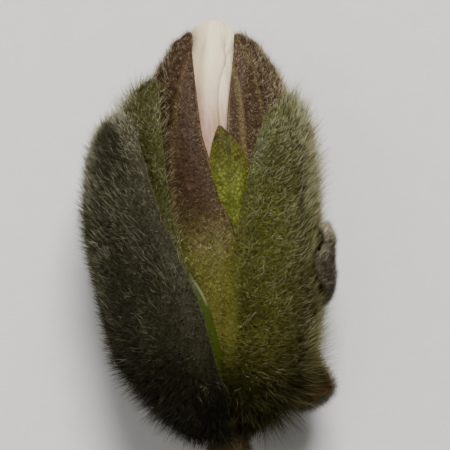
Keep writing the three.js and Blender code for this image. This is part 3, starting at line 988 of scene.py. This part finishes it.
relief = BARK_RELIEF * (grooves + ripple(points, 1.6, seed=72))
move_points(twig, points + normals * (relief * bark_only)[:, None])
report(twig)

# %% [markdown]
# ### The twig's finish
# Bark is a fibrous brown with greener patches and scattered pale pores, all long along the
# twig. The cut has rings, so its colour comes from a ramp over the distance to the middle.
# Which of the two a place gets is decided by how near it is to the cut's plane.

# %% Twig finish
paint = Paint("young_bark")
x, y, z = paint.split()
fibres = paint.noise(0.25, detail=4, stretch=(1, 5, 1))
patches = paint.noise(1.4, detail=3)
pores = paint.noise(0.55, detail=1, stretch=(1, 1.6, 1)).between(0.68, 0.74)
bark = paint.mix(fibres, (0.030, 0.017, 0.007), (0.14, 0.085, 0.038))
bark = paint.mix(patches.between(0.4, 0.7) * 0.5, bark, (0.09, 0.08, 0.025))
bark = paint.mix(pores * 0.8, bark, (0.34, 0.26, 0.16))
aside = x - CUT_MIDDLE
ring = paint.maths("SQRT", aside * aside + (z - FOOT[2]) ** 2.0)
wood = paint.ramp(ring / 2.1, [
    (0.0, (0.62, 0.60, 0.45)), (0.36, (0.60, 0.57, 0.42)), (0.42, (0.50, 0.47, 0.24)),
    (0.80, (0.55, 0.52, 0.28)), (0.86, (0.22, 0.30, 0.06)), (0.94, (0.10, 0.06, 0.03)),
])
on_cut = y.between(CUT_PLACE + 0.28, CUT_PLACE + 0.2)
skin = paint.mix(on_cut, bark, wood)
twig.data.materials.append(
    paint.finish(skin, 0.75, fibres + pores * 0.5, depth=0.06, Specular_IOR_Level=0.2))
print("finish:", twig.data.materials[0].name)

# %% [markdown]
# ## One hair
# Every hair of the coat is a copy of one of two models. The short one is a plain three-sided
# spike. The long one is cut once across, so that it can bend there, and is kept almost as
# thick up to the cut, because a silky hair only tapers near its tip. Blender's hair particles
# would be quicker to set up, but they are lines and not surfaces, and this coat has to last
# when the model leaves Blender.


# %% Model the hairs
def model_hair(cut):
    """The points and faces of a spike of height 1, cut across in the middle or not."""
    bpy.ops.mesh.primitive_cone_add(
        vertices=3, radius1=1, radius2=0, depth=1, location=(0, 0, 0.5))
    spike = bpy.context.object
    bpy.ops.object.transform_apply(location=True)
    if cut:
        bpy.ops.object.mode_set(mode="EDIT")
        bpy.ops.mesh.select_all(action="SELECT")
        bpy.ops.mesh.bisect(plane_co=(0, 0, 0.5), plane_no=(0, 0, 1))
        bpy.ops.transform.resize(value=(CUT_THICKNESS, CUT_THICKNESS, 1))
        bpy.ops.object.mode_set(mode="OBJECT")
    points = np.array([vertex.co for vertex in spike.data.vertices])
    faces = [list(face.vertices) for face in spike.data.polygons]
    bpy.data.objects.remove(spike)
    return points, faces


CUT_THICKNESS = 1.6  # how much wider than a plain spike the long hair is at its cut
SHORT_HAIR = model_hair(cut=False)
LONG_HAIR = model_hair(cut=True)
for hair_points, hair_faces in (SHORT_HAIR, LONG_HAIR):
    print("a hair of", len(hair_points), "points and", len(hair_faces), "faces")

# %% [markdown]
# ## Many hairs
# A hair is planted by its root, the way it leaves the skin and the way its tip turns. The
# model's height walks along that bent line and its width goes to both sides. All hairs of
# one coat are one mesh, filled in one go, because an object for every hair would take hours.
# Each hair also carries a pair of numbers for its material, in a UV map: its own tint, and
# how far up the hair a point is.

# %% Build a coat's mesh
HAIR_MAP = "OFBake"
MAP_MARGIN = 0.02  # about how far the map's points keep from its edges
HAIR_ON_MAP = 0.006  # half the width of a hair on the map
TABLE_GAP = 0.01  # no hair comes nearer to the table top


def bent_lines(roots, bends, tips, shares):
    """Points on each hair's curve, at each share of its length."""
    share = shares[None, :, None]
    early = roots[:, None] * (1 - share) ** 2
    middle = 2 * bends[:, None] * share * (1 - share)
    return early + middle + tips[:, None] * share**2


def hair_mesh(name, model, roots, bends, tips, widths, tints):
    """One mesh with a copy of the hair's model on every line."""
    model_points, model_faces = model
    count = len(roots)
    along = unit(tips - roots)
    helper = np.where(np.abs(along[:, :1]) < 0.8, [[1.0, 0.0, 0.0]], [[0.0, 1.0, 0.0]])
    left = unit(np.cross(along, helper))[:, None]
    front = np.cross(along, left[:, 0])[:, None]
    line = bent_lines(roots, bends, tips, model_points[:, 2])
    aside = model_points[None, :, :1] * left + model_points[None, :, 1:2] * front
    points = line + aside * (0.5 * widths)[:, None, None]
    points[:, :, 2] = np.maximum(points[:, :, 2], TABLE_GAP)
    sizes = np.array([len(face) for face in model_faces])
    corners = np.concatenate(model_faces)
    mesh = bpy.data.meshes.new(name)
    mesh.vertices.add(points.size // 3)
    mesh.vertices.foreach_set("co", (points * MM).astype(np.float32).ravel())
    mesh.loops.add(count * len(corners))
    steps = np.arange(count)[:, None] * len(model_points)
    mesh.loops.foreach_set("vertex_index", (corners + steps).astype(np.int32).ravel())
    mesh.polygons.add(count * len(sizes))
    starts = np.concatenate([[0], np.cumsum(sizes)[:-1]])
    steps = np.arange(count)[:, None] * len(corners)
    mesh.polygons.foreach_set("loop_start", (starts + steps).astype(np.int32).ravel())
    mesh.update(calc_edges=True)
    plan = np.empty((count, len(corners), 2))
    plan[:, :, 0] = np.clip(tints, MAP_MARGIN, 1 - MAP_MARGIN)[:, None]
    plan[:, :, 0] += HAIR_ON_MAP * model_points[corners, 0]
    plan[:, :, 1] = MAP_MARGIN + (1 - 2 * MAP_MARGIN) * model_points[corners, 2]
    mesh.uv_layers.new(name=HAIR_MAP)
    mesh.uv_layers[HAIR_MAP].uv.foreach_set("vector", plan.astype(np.float32).ravel())
    return mesh


print("coats are built as one mesh each")

# %% [markdown]
# ## Planting places
# Hairs stand where a scale is free and not where another one covers it, so from each root a
# ray looks outwards for a neighbour. The ray is cast in a search tree of all the other
# pieces, which is made once for each piece. Places are drawn at random, more of them where
# the area is large and the coat dense.

# %% Find free places on a piece
SKINS = [*tepals, leaf, inner_scale, middle_scale, outer_scale, dried_scale, twig]
COVER_REACH = 0.9  # how near above a place another piece makes it a covered one
ROOT_DEPTH = 0.05
found_trees = {}


def tree_without(piece):
    """The search tree of all other pieces' surfaces."""
    if piece.name not in found_trees:
        others = [other for other in SKINS if other is not piece]
        found_trees[piece.name] = surface_tree(others)
    return found_trees[piece.name]


def scatter(piece, count, density, random):
    """Random places on the piece, with their normals, more of them where it is denser."""
    mesh = piece.data
    mesh.calc_loop_triangles()
    corners = np.empty(len(mesh.loop_triangles) * 3, np.int32)
    mesh.loop_triangles.foreach_get("vertices", corners)
    corners = corners.reshape(-1, 3)
    points = points_of(piece)
    normals = points_of(piece, "normal")
    a, b, c = (points[corners[:, side]] for side in range(3))
    areas = np.linalg.norm(np.cross(b - a, c - a), axis=1) / 2
    facing = unit(normals[corners].mean(axis=1))
    weights = areas * density((a + b + c) / 3, facing)
    chosen = random.choice(len(corners), count, p=weights / weights.sum())
    shares = random.dirichlet((1, 1, 1), count)[:, :, None]
    roots = (points[corners[chosen]] * shares).sum(axis=1)
    return roots, unit((normals[corners[chosen]] * shares).sum(axis=1))


def free_share(tree, roots, headings, lengths):
    """How much of each hair's length is free before it meets another piece, from 0 to 1."""
    free = np.ones(len(roots))
    for index, (root, heading, length) in enumerate(zip(roots, headings, lengths)):
        distance = tree.ray_cast(root + ROOT_DEPTH * heading, heading, length)[3]
        if distance is not None:
            free[index] = distance / length
    return free


def free_roots(piece, count, density, random):
    """Random roots and their normals, without those that another piece covers."""
    roots, normals = scatter(piece, count, density, random)
    reach = np.full(len(roots), COVER_REACH)
    free = free_share(tree_without(piece), roots, normals, reach) == 1
    return roots[free], normals[free]


print("pieces that can cover others:", len(SKINS))

# %% [markdown]
# ## Combing
# The coat is combed up the bud: at the foot the hairs stand straight out, further up they
# lean to the tip. On the flanks they rise more, in front they lie closer and may be shorter,
# or they would hide the form. Slow waves turn whole patches aside and a little chance turns
# each hair, because an even coat looks like a brush.

# %% Comb one coat
SHORTEST = 0.12
FOOT_STAND = 1.1  # how steeply hairs stand out at the foot
FOOT_DROOP = -0.2  # there they point a little down
FOOT_LONGER = 0.45  # and are longer by this share
FRONT_RISE = 0.35  # the share of its rise that a hair keeps in front
TIP_FALL = 0.3  # how much a hair's tip falls back to the skin


def comb(roots, normals, style, random):
    """The two directions of each hair: how it leaves the skin, and how it ends."""
    grown = ease(height_of(roots), 0.5, 11)
    up = unit(np.array([0.0, 1.0, 0.0]) - normals * normals[:, 1:2] + 1e-6 * normals)
    side = np.cross(up, normals)
    sway = 0.15 * ripple(roots, 2.4, style["seed"] + 1)
    sway += style["spread"] * random.normal(size=len(roots))
    out = FOOT_STAND + (style["stand"] - FOOT_STAND) * grown
    out *= random.uniform(0.6, 1.3, len(roots))
    flank = FRONT_RISE + (1 - FRONT_RISE) * ease(normals[:, 2], 0.95, 0.3)
    lift = FOOT_DROOP + (style["rise"] * flank - FOOT_DROOP) * grown
    lift += 0.1 * ripple(roots, 3.5, style["seed"] + 2) + 0.15 * random.normal(size=len(roots))
    first = out[:, None] * normals + lift[:, None] * up + sway[:, None] * side
    first = unit(first + style["lean"])
    curl = (0.4 + 0.25 * random.normal(size=len(roots)))[:, None]
    turn = (style["twist"] * random.normal(size=len(roots)))[:, None]
    last = first + curl * (lift[:, None] * up - TIP_FALL * normals) + turn * side
    return first, unit(last)


def lengths_of(roots, normals, style, random):
    """The hairs' lengths: in slow waves, longer at the foot, and cut back as the style says."""
    lengths = random.uniform(*style["length"], len(roots))
    lengths *= 0.9 + 0.15 * ripple(roots, 4.0, style["seed"] + 3)
    front = ease(normals[:, 2], 0.3, 0.9)
    lengths *= 1 - style["shorter"] * front - style["trim"] * (1 - front)
    lengths *= 1 + FOOT_LONGER * (1 - ease(height_of(roots), 5, 14))
    return np.maximum(lengths, SHORTEST)


print("hairs can be combed")

# %% [markdown]
# ## Tufts
# Fine hairs cling together. One hair in three is a leader, and every hair leans its tip
# towards the tip of the nearest leader and takes most of its tint. Without that a coat looks
# like felt. Tints also have a wide spread: most hairs are near the coat's own tone, and a few
# are far paler or darker, which is what makes single hairs stand out.

# %% Gather tufts and plant a coat
TUFT = 3  # hairs in a tuft
TUFT_MOOD = 0.8  # how much of its tint a hair shares with its tuft
OWN_MOOD = 0.6
SHORTEST_SHARE = 0.35  # a hair with less free length than this isn't planted
FREE_END = 0.9  # one that would meet another piece ends at this share of its free length
BEND_PULL = 0.25  # how much of its tip's pull a hair's bend follows
COMMON_STYLE = {
    "spread": 0.3, "twist": 0.3, "cling": 0.06, "lean": (0, 0, 0), "shorter": 0.0,
    "trim": 0.0, "speckle": 0.13,
}


def leaders_of(roots, random):
    """The number of the nearest leader for each hair."""
    leaders = random.choice(len(roots), max(len(roots) // TUFT, 1), replace=False)
    tree = tree_of(roots[leaders])
    return leaders[[tree.find(root)[1] for root in roots]]


def mood_of(leader, random):
    """How much paler or darker each hair is than its coat, mostly as its leader is."""
    own = random.normal(size=len(leader))
    mood = TUFT_MOOD * own[leader] + OWN_MOOD * random.normal(size=len(leader))
    return mood * (0.6 + 0.4 * np.abs(mood))


def grow(name, piece, slot, model, finish, tint, density, **style):
    """Plants a coat of hairs on a piece, as a piece of its own."""
    style = {**COMMON_STYLE, **style}
    random = np.random.default_rng(style["seed"])
    roots, normals = free_roots(piece, style["count"], density, random)
    first, last = comb(roots, normals, style, random)
    lengths = lengths_of(roots, normals, style, random)
    free = free_share(tree_without(piece), roots, unit(first + last), lengths)
    keep = free > SHORTEST_SHARE
    half = (0.5 * lengths * np.where(free < 1, FREE_END * free, 1))[keep, None]
    roots, normals, first, last = (part[keep] for part in (roots, normals, first, last))
    bends = roots + first * half
    straight = bends + last * half
    leader = leaders_of(roots, random)
    pull = style["cling"] * (straight[leader] - straight)
    tints = tint(roots, normals) + style["speckle"] * mood_of(leader, random)
    widths = style["thickness"] * random.uniform(0.75, 1.2, len(roots))
    roots = roots - ROOT_DEPTH * normals
    mesh = hair_mesh(name, model, roots, bends + BEND_PULL * pull, straight + pull,
                     widths, tints)
    coat = bpy.data.objects.new(name, mesh)
    bpy.context.scene.collection.objects.link(coat)
    pick(coat)
    bpy.ops.object.shade_smooth()
    coat.data.materials.append(finish)
    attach(coat, "root")
    print(f"{name}: {len(roots)} hairs")


print("coats can be planted")

# %% [markdown]
# ## Hair colours
# Hairs are nearly clear, olive near the skin and pale gold at the tips, and near the skin they
# are darkened further as painted shade for the depth of the coat. Each coat's finish reads the
# two numbers that its hairs carry. The first picks a colour from a ramp, the second darkens the
# root as painted shade.

# %% Hair finishes
# painted shade at the hair's root: how much of its own colour is left there
ROOT_SHADE = 0.3  # the root's share of the hair's own colour
HAIR_GLOSS = 0.08


def hair_finish(name, *colours):
    """A finish whose tint runs evenly through some colours, from dark hairs to pale ones."""
    paint = Paint(name)
    plan = paint.add("ShaderNodeUVMap", {"uv_map": HAIR_MAP})
    tint, along, _ = paint.split(plan)
    stops = [(index / (len(colours) - 1), colour) for index, colour in enumerate(colours)]
    # the root is darkened towards half the darkest colour, a painted shade
    share = along.between(0.0, 0.7) * (1 - ROOT_SHADE) + ROOT_SHADE
    colour = paint.mix(share, [0.5 * part for part in colours[0]], paint.ramp(tint, stops))
    return paint.finish(colour, 0.5, Specular_IOR_Level=HAIR_GLOSS)


grey_hair = hair_finish(
    "grey_hair", (0.006, 0.005, 0.003), (0.020, 0.018, 0.008), (0.055, 0.050, 0.023),
    (0.14, 0.13, 0.068), (0.36, 0.345, 0.235))
green_hair = hair_finish(
    "green_hair", (0.008, 0.006, 0.001), (0.034, 0.029, 0.006), (0.090, 0.080, 0.022),
    (0.20, 0.187, 0.078), (0.42, 0.405, 0.26))
brown_wool = hair_finish(
    "brown_wool", (0.012, 0.006, 0.003), (0.050, 0.028, 0.013), (0.15, 0.095, 0.046),
    (0.31, 0.235, 0.12), (0.46, 0.40, 0.27))
yellow_wool = hair_finish(
    "yellow_wool", (0.045, 0.043, 0.004), (0.13, 0.128, 0.016), (0.25, 0.245, 0.045),
    (0.40, 0.39, 0.12), (0.55, 0.53, 0.28))
cream_wool = hair_finish(
    "cream_wool", (0.022, 0.014, 0.007), (0.085, 0.070, 0.040), (0.24, 0.21, 0.135),
    (0.52, 0.48, 0.35))
print("hair finishes: 5")

# %% [markdown]
# ## Where hairs grow
# A coat's density is a number for every place, worked out from where the place is and which
# way it faces, and 0 where nothing grows. Multiplying such numbers cuts a coat to its region:
# outer faces only, not on the bare strip, thinner towards the foot, or just along a margin.


# %% Densities
def outer_face(points, normals):
    """1 where a surface faces away from the bud's core, and still some on its rims."""
    facing = (unit(from_core(points)) * normals).sum(axis=1)
    return ease(facing, -0.25, 0.25)


def middle_face(points, normals):
    """The outer face without the bare strip."""
    behind = from_lobe_edge(points)
    near = (behind > -BARE_OVERLAP) & (behind < BARE_WIDTH + 0.2)
    near &= points[:, 0] < EDGE_SHIFT + 0.6
    heights = height_of(points)
    strip = near & (points[:, 2] > 14) & (heights > BARE_ABOVE) & (heights < BARE_BELOW - 0.6)
    return outer_face(points, normals) * ~strip


def upper_face(points, normals):
    """The middle face with only a few hairs at the foot."""
    return middle_face(points, normals) * (0.1 + 0.9 * ease(height_of(points), 9, 18))


print("a coat can cover the outer faces, and leave out the bare strip")


# %% Densities along the margins
def yellow_side(points, normals):
    """The right lobe's lower part beside the split."""
    heights = height_of(points)
    beside = (1 - ease(bearing_of(points), 5, 60)) * (from_lobe_edge(points) < -0.3)
    middle_part = ease(heights, 3, 12) * (1 - ease(heights, 20, 30))
    return outer_face(points, normals) * beside * middle_part * (points[:, 2] > 12)


def right_margin(points, normals):
    """The lower margin of the right lobe, where it borders the split."""
    near = 1 - ease(rim_distance(middle_scale, points), 0.3, 1.3)
    return near * yellow_side(points, normals) * (1 - ease(height_of(points), 15, 19))


def left_margin(points, normals):
    """The upper margin of the left lobe, beside the brown scale."""
    behind = from_lobe_edge(points)
    near = (behind > -BARE_OVERLAP) & (behind < 0.9)
    near &= (points[:, 2] > 12) & (points[:, 0] < 0)
    heights = height_of(points)
    return near * ease(heights, 17, 20) * (1 - ease(heights, 32, 36))


def brown_part(points, normals):
    return outer_face(points, normals) * (0.06 + 0.94 * ease(height_of(points), 15, 24))


def yellow_part(points, normals):
    return outer_face(points, normals) * (1 - ease(height_of(points), 17, 25))


def dried_rim(points, normals):
    """The rims of the dried scale and the outer face beside them."""
    near = 1 - ease(rim_distance(dried_scale, points), 0.2, 0.9)
    facing = (unit(from_core(points)) * normals).sum(axis=1)
    return near * ease(facing, -0.7, 0.0)


def leaf_face(points, normals):
    return outer_face(points, normals) * ease(height_of(points), 12, 15)


def below_bud(points, normals):
    """Dense under the bud, thinning out down the twig."""
    return 0.03 + ease(height_of(points), -7.5, -1.0)


print("hairs grow on outer faces and rims")

# %% [markdown]
# ## Tints over the bud
# The coat's tone changes over the bud: nearly black at the foot and olive higher up, partly the
# hairs' own colour and partly painted shade low down and painted light near the top. Where the
# surface turns away from the viewer the hairs are paler, a painted highlight, and some coats are
# darker on the bud's left as painted shade. A tint is a place on a hair finish's ramp, from 0
# for the darkest hairs to 1.


# %% Tints over the bud
def flank_highlight(normals):
    """1 where a surface is seen from its side, else 0. There the hairs get a painted highlight."""
    return 1 - ease(normals[:, 2], 0.05, 0.6)


def grey_tone_and_light(points, normals):
    """Darkest at the foot, partly as painted shade; a painted highlight on the tip's rim and
    flanks, round a hollow darkened as painted shade.
    """
    heights = height_of(points)
    inwards = rim_distance(outer_scale, points)
    near_tip = ease(heights, 26, 29)
    # painted highlight on the tip's rim and where its hairs are seen from the side
    rim = near_tip * np.maximum(1 - ease(inwards, 0.9, 1.8), flank_highlight(normals))
    # painted shade in the hollow below the rim
    hollow_shade = near_tip * ease(inwards, 1.3, 2.1) * (1 - ease(inwards, 3.2, 4.5)) * (1 - rim)
    # darker towards the foot partly as painted shade, lighter near the top partly as painted light
    tone = 0.30 * ease(heights, 0, 18) - 0.08 + 0.12 * ease(heights, 16, 26)
    tone += 0.12 * flank_highlight(normals) * ease(heights, 3, 10)
    return tone + 0.4 * rim - 0.18 * hollow_shade + 0.08 * ripple(points, 2.5, 101)


def green_tone_and_light(points, normals):
    """Darkest at the foot and palest near the top, partly as painted shade and painted light, and
    darker on the left as painted shade.
    """
    heights = height_of(points)
    # darker towards the foot partly as painted shade, lighter near the top partly as painted light
    tone = 0.43 * ease(heights, 0, 14) - 0.11 + 0.20 * ease(heights, 14, 31)
    # painted shade on the bud's left side
    tone -= 0.14 * ease(points[:, 0], 0, -3) * ease(heights, 18, 26)
    tone += 0.10 * flank_highlight(normals) * ease(heights, 3, 10)
    return tone + 0.07 * ripple(points, 2.5, 102)


def mottled_tone_and_shade(points, normals):
    """Mottled in fine spots and in larger clouds, darker on the left flap partly as painted shade,
    with a painted highlight on the flanks.
    """
    heights = height_of(points)
    # darker on the left flap, partly painted shade
    dark = ease(points[:, 0], 0.5, -2.5) * ease(heights, 17, 22) * (1 - 0.3 * ease(heights, 31, 36))
    clouds = 0.14 * ripple(points, 0.35, 103) + 0.08 * ripple(points, 2.5, 104)
    return 0.38 - 0.45 * dark + 0.12 * flank_highlight(normals) + clouds


def pale_tint(points, normals):
    return 0.42 + 0.15 * ripple(points, 1.5, 105)


def dried_tone_and_shade(points, normals):
    """Pale on the curl at the top and along the rag, darker in between, partly as painted shade."""
    heights = height_of(points)
    pale = ease(heights, 17.5, 19.5) + 1 - ease(heights, 7, 12)
    # the low tone between curl and rag is partly painted shade
    return 0.04 + 0.34 * pale + 0.12 * ripple(points, 0.8, 106)


def paler(tint, step):
    """The same tint, some way up the ramp."""
    return lambda points, normals: tint(points, normals) + step


print("tints follow the height along the bud")

# %% [markdown]
# ## The coats
# A silky scale has four coats, as an animal has underfur and guard hairs: a dense short
# underfur hides the skin, fur gives the body, long silk stands out at the outline, and a few
# single hairs lie pale over all of it. Fur and silk are shorter in front, or they would hide
# the form, and the outer scale's are also trimmed on its flanks, as it is the sleeker one.
# The middle scale's underfur is made in two parts, which keeps each mesh small.

# %% Coats of the outer scale
UNDERFUR = {"model": SHORT_HAIR, "length": (0.3, 0.8), "thickness": 0.030, "stand": 1.0,
            "cling": 0.45, "speckle": 0.18}
FUR = {"model": SHORT_HAIR, "length": (0.8, 1.7), "thickness": 0.026, "stand": 1.0,
       "shorter": 0.4, "cling": 0.25, "speckle": 0.18}
SILK = {"model": LONG_HAIR, "length": (1.7, 3.3), "thickness": 0.032, "spread": 0.45,
        "stand": 1.0, "shorter": 0.6}
SINGLE = {"model": LONG_HAIR, "length": (1.2, 2.8), "thickness": 0.026, "stand": 0.35,
          "cling": 0.0}

on_outer = {"piece": outer_scale, "slot": "grey_scale", "finish": grey_hair,
            "density": outer_face, "rise": 0.55, "trim": 0.38}
grow("outer_scale_underfur", **on_outer, **UNDERFUR, tint=grey_tone_and_light, count=46000, seed=201)
grow("outer_scale_fur", **on_outer, **FUR, tint=paler(grey_tone_and_light, 0.15), count=34000, seed=202)
grow("outer_scale_silk", **on_outer, **SILK, tint=paler(grey_tone_and_light, 0.32), count=12000, seed=203)
on_outer.update(density=upper_face)
grow("outer_scale_single_hairs", **on_outer, **SINGLE, tint=paler(grey_tone_and_light, 0.6), count=1700,
     lean=(-0.4, 0.4, 0.0), seed=204)

# %% Coats of the middle scale
on_middle = {"piece": middle_scale, "slot": "green_scale", "finish": green_hair,
             "density": middle_face, "rise": 0.7}
grow("middle_scale_underfur_1", **on_middle, **UNDERFUR, tint=green_tone_and_light, count=46000, seed=211)
grow("middle_scale_underfur_2", **on_middle, **UNDERFUR, tint=green_tone_and_light, count=30000, seed=212)
grow("middle_scale_fur", **on_middle, **FUR, tint=paler(green_tone_and_light, 0.15), count=52000, seed=213)
grow("middle_scale_silk", **on_middle, **SILK, tint=paler(green_tone_and_light, 0.34), count=21000,
     seed=214)
on_middle.update(density=upper_face)
grow("middle_scale_single_hairs", **on_middle, **SINGLE, tint=paler(green_tone_and_light, 0.55),
     count=2100, lean=(0.4, 0.4, 0.0), seed=218)

# %% [markdown]
# ### Margins of the middle scale
# Beside the split the green coat turns yellow and short, and along the very edge it forms a
# fringe that leans in over the brown scale. On the left lobe long hairs reach across to it.

# %% Yellow fur, fringe and lobe hairs
on_middle.update(density=yellow_side, finish=yellow_wool)
grow("middle_scale_yellow_fur", **on_middle, model=SHORT_HAIR, tint=paler(green_tone_and_light, -0.11),
     count=20000, length=(0.3, 1.0), thickness=0.030, stand=1.0, spread=0.5, seed=215)
on_middle.update(density=right_margin)
grow("middle_scale_fringe", **on_middle, model=SHORT_HAIR, tint=paler(green_tone_and_light, -0.05),
     count=5000, length=(0.4, 1.1), thickness=0.030, stand=0.5, lean=(-0.9, 0.2, 0.3),
     spread=0.6, seed=216)
on_middle.update(density=left_margin, finish=green_hair)
grow("middle_scale_lobe_hairs", **on_middle, model=LONG_HAIR, tint=paler(green_tone_and_light, 0.4),
     count=700, length=(0.8, 2.2), thickness=0.026, stand=0.6, lean=(0.8, 0.3, 0.3),
     spread=0.7, seed=217)

# %% [markdown]
# ### Wool, fuzz and down
# The brown scale wears short tangled wool with some silk over it, yellow at its foot. The
# dried scale is fuzzy and cream, most of all on its rims. The leaf has a thin down that
# hardly shows, and the twig short wool below the bud.

# %% Wool of the brown scale
on_inner = {"piece": inner_scale, "slot": "brown_scale", "model": SHORT_HAIR, "spread": 0.6,
            "twist": 0.5, "rise": 0.7, "cling": 0.45}
grow("inner_scale_wool", **on_inner, finish=brown_wool, tint=mottled_tone_and_shade, density=brown_part,
     count=62000, length=(0.25, 0.6), thickness=0.032, stand=0.9, speckle=0.36, seed=241)
grow("inner_scale_foot_wool", **on_inner, finish=yellow_wool, tint=paler(mottled_tone_and_shade, -0.02),
     density=yellow_part, count=30000, length=(0.3, 0.9), thickness=0.032, stand=1.0,
     speckle=0.4, seed=242)
grow("inner_scale_silk", **on_inner, finish=brown_wool, tint=paler(mottled_tone_and_shade, 0.3),
     density=brown_part, count=30000, length=(0.8, 1.9), thickness=0.026, stand=0.8,
     shorter=0.55, speckle=0.36, seed=243)

# %% Fuzz, down and the twig's wool
on_dried = {"piece": dried_scale, "slot": "dry_scale", "model": SHORT_HAIR, "finish": cream_wool,
            "spread": 0.6, "twist": 0.5, "rise": 0.6}
grow("dried_scale_fuzz", **on_dried, tint=dried_tone_and_shade, density=outer_face, count=26000,
     length=(0.4, 1.3), thickness=0.032, stand=0.9, lean=(-0.1, 0.1, 0.4), cling=0.2,
     speckle=0.25, seed=251)
grow("dried_scale_rim_fuzz", **on_dried, tint=paler(dried_tone_and_shade, 0.25), density=dried_rim,
     count=12000, length=(0.25, 0.8), thickness=0.032, stand=0.8, lean=(0.0, 0.2, 0.3), seed=254)
grow("young_leaf_down", piece=leaf, slot="leaf", model=SHORT_HAIR, finish=yellow_wool,
     tint=pale_tint, density=leaf_face, count=1600, length=(0.15, 0.4), thickness=0.020,
     stand=0.35, rise=0.9, cling=0.0, seed=252)
grow("twig_wool", piece=twig, slot="bark", model=SHORT_HAIR, finish=brown_wool,
     tint=paler(mottled_tone_and_shade, 0.1), density=below_bud, count=14000, length=(0.25, 0.8),
     thickness=0.032, stand=0.7, rise=0.6, spread=0.5, seed=253)

# %% [markdown]
# ## Closing
# The number of triangles is printed at the end. Only the coat stands clear of the solids' box.
# The surfaces under it have moved a millimetre or two at most, and hardly past that box.

# %% Count the triangles
triangles = sum(
    len(face.vertices) - 2
    for piece in bpy.context.scene.objects if piece.type == "MESH" and not piece.hide_render
    for face in piece.data.polygons
)
print("triangles:", triangles)
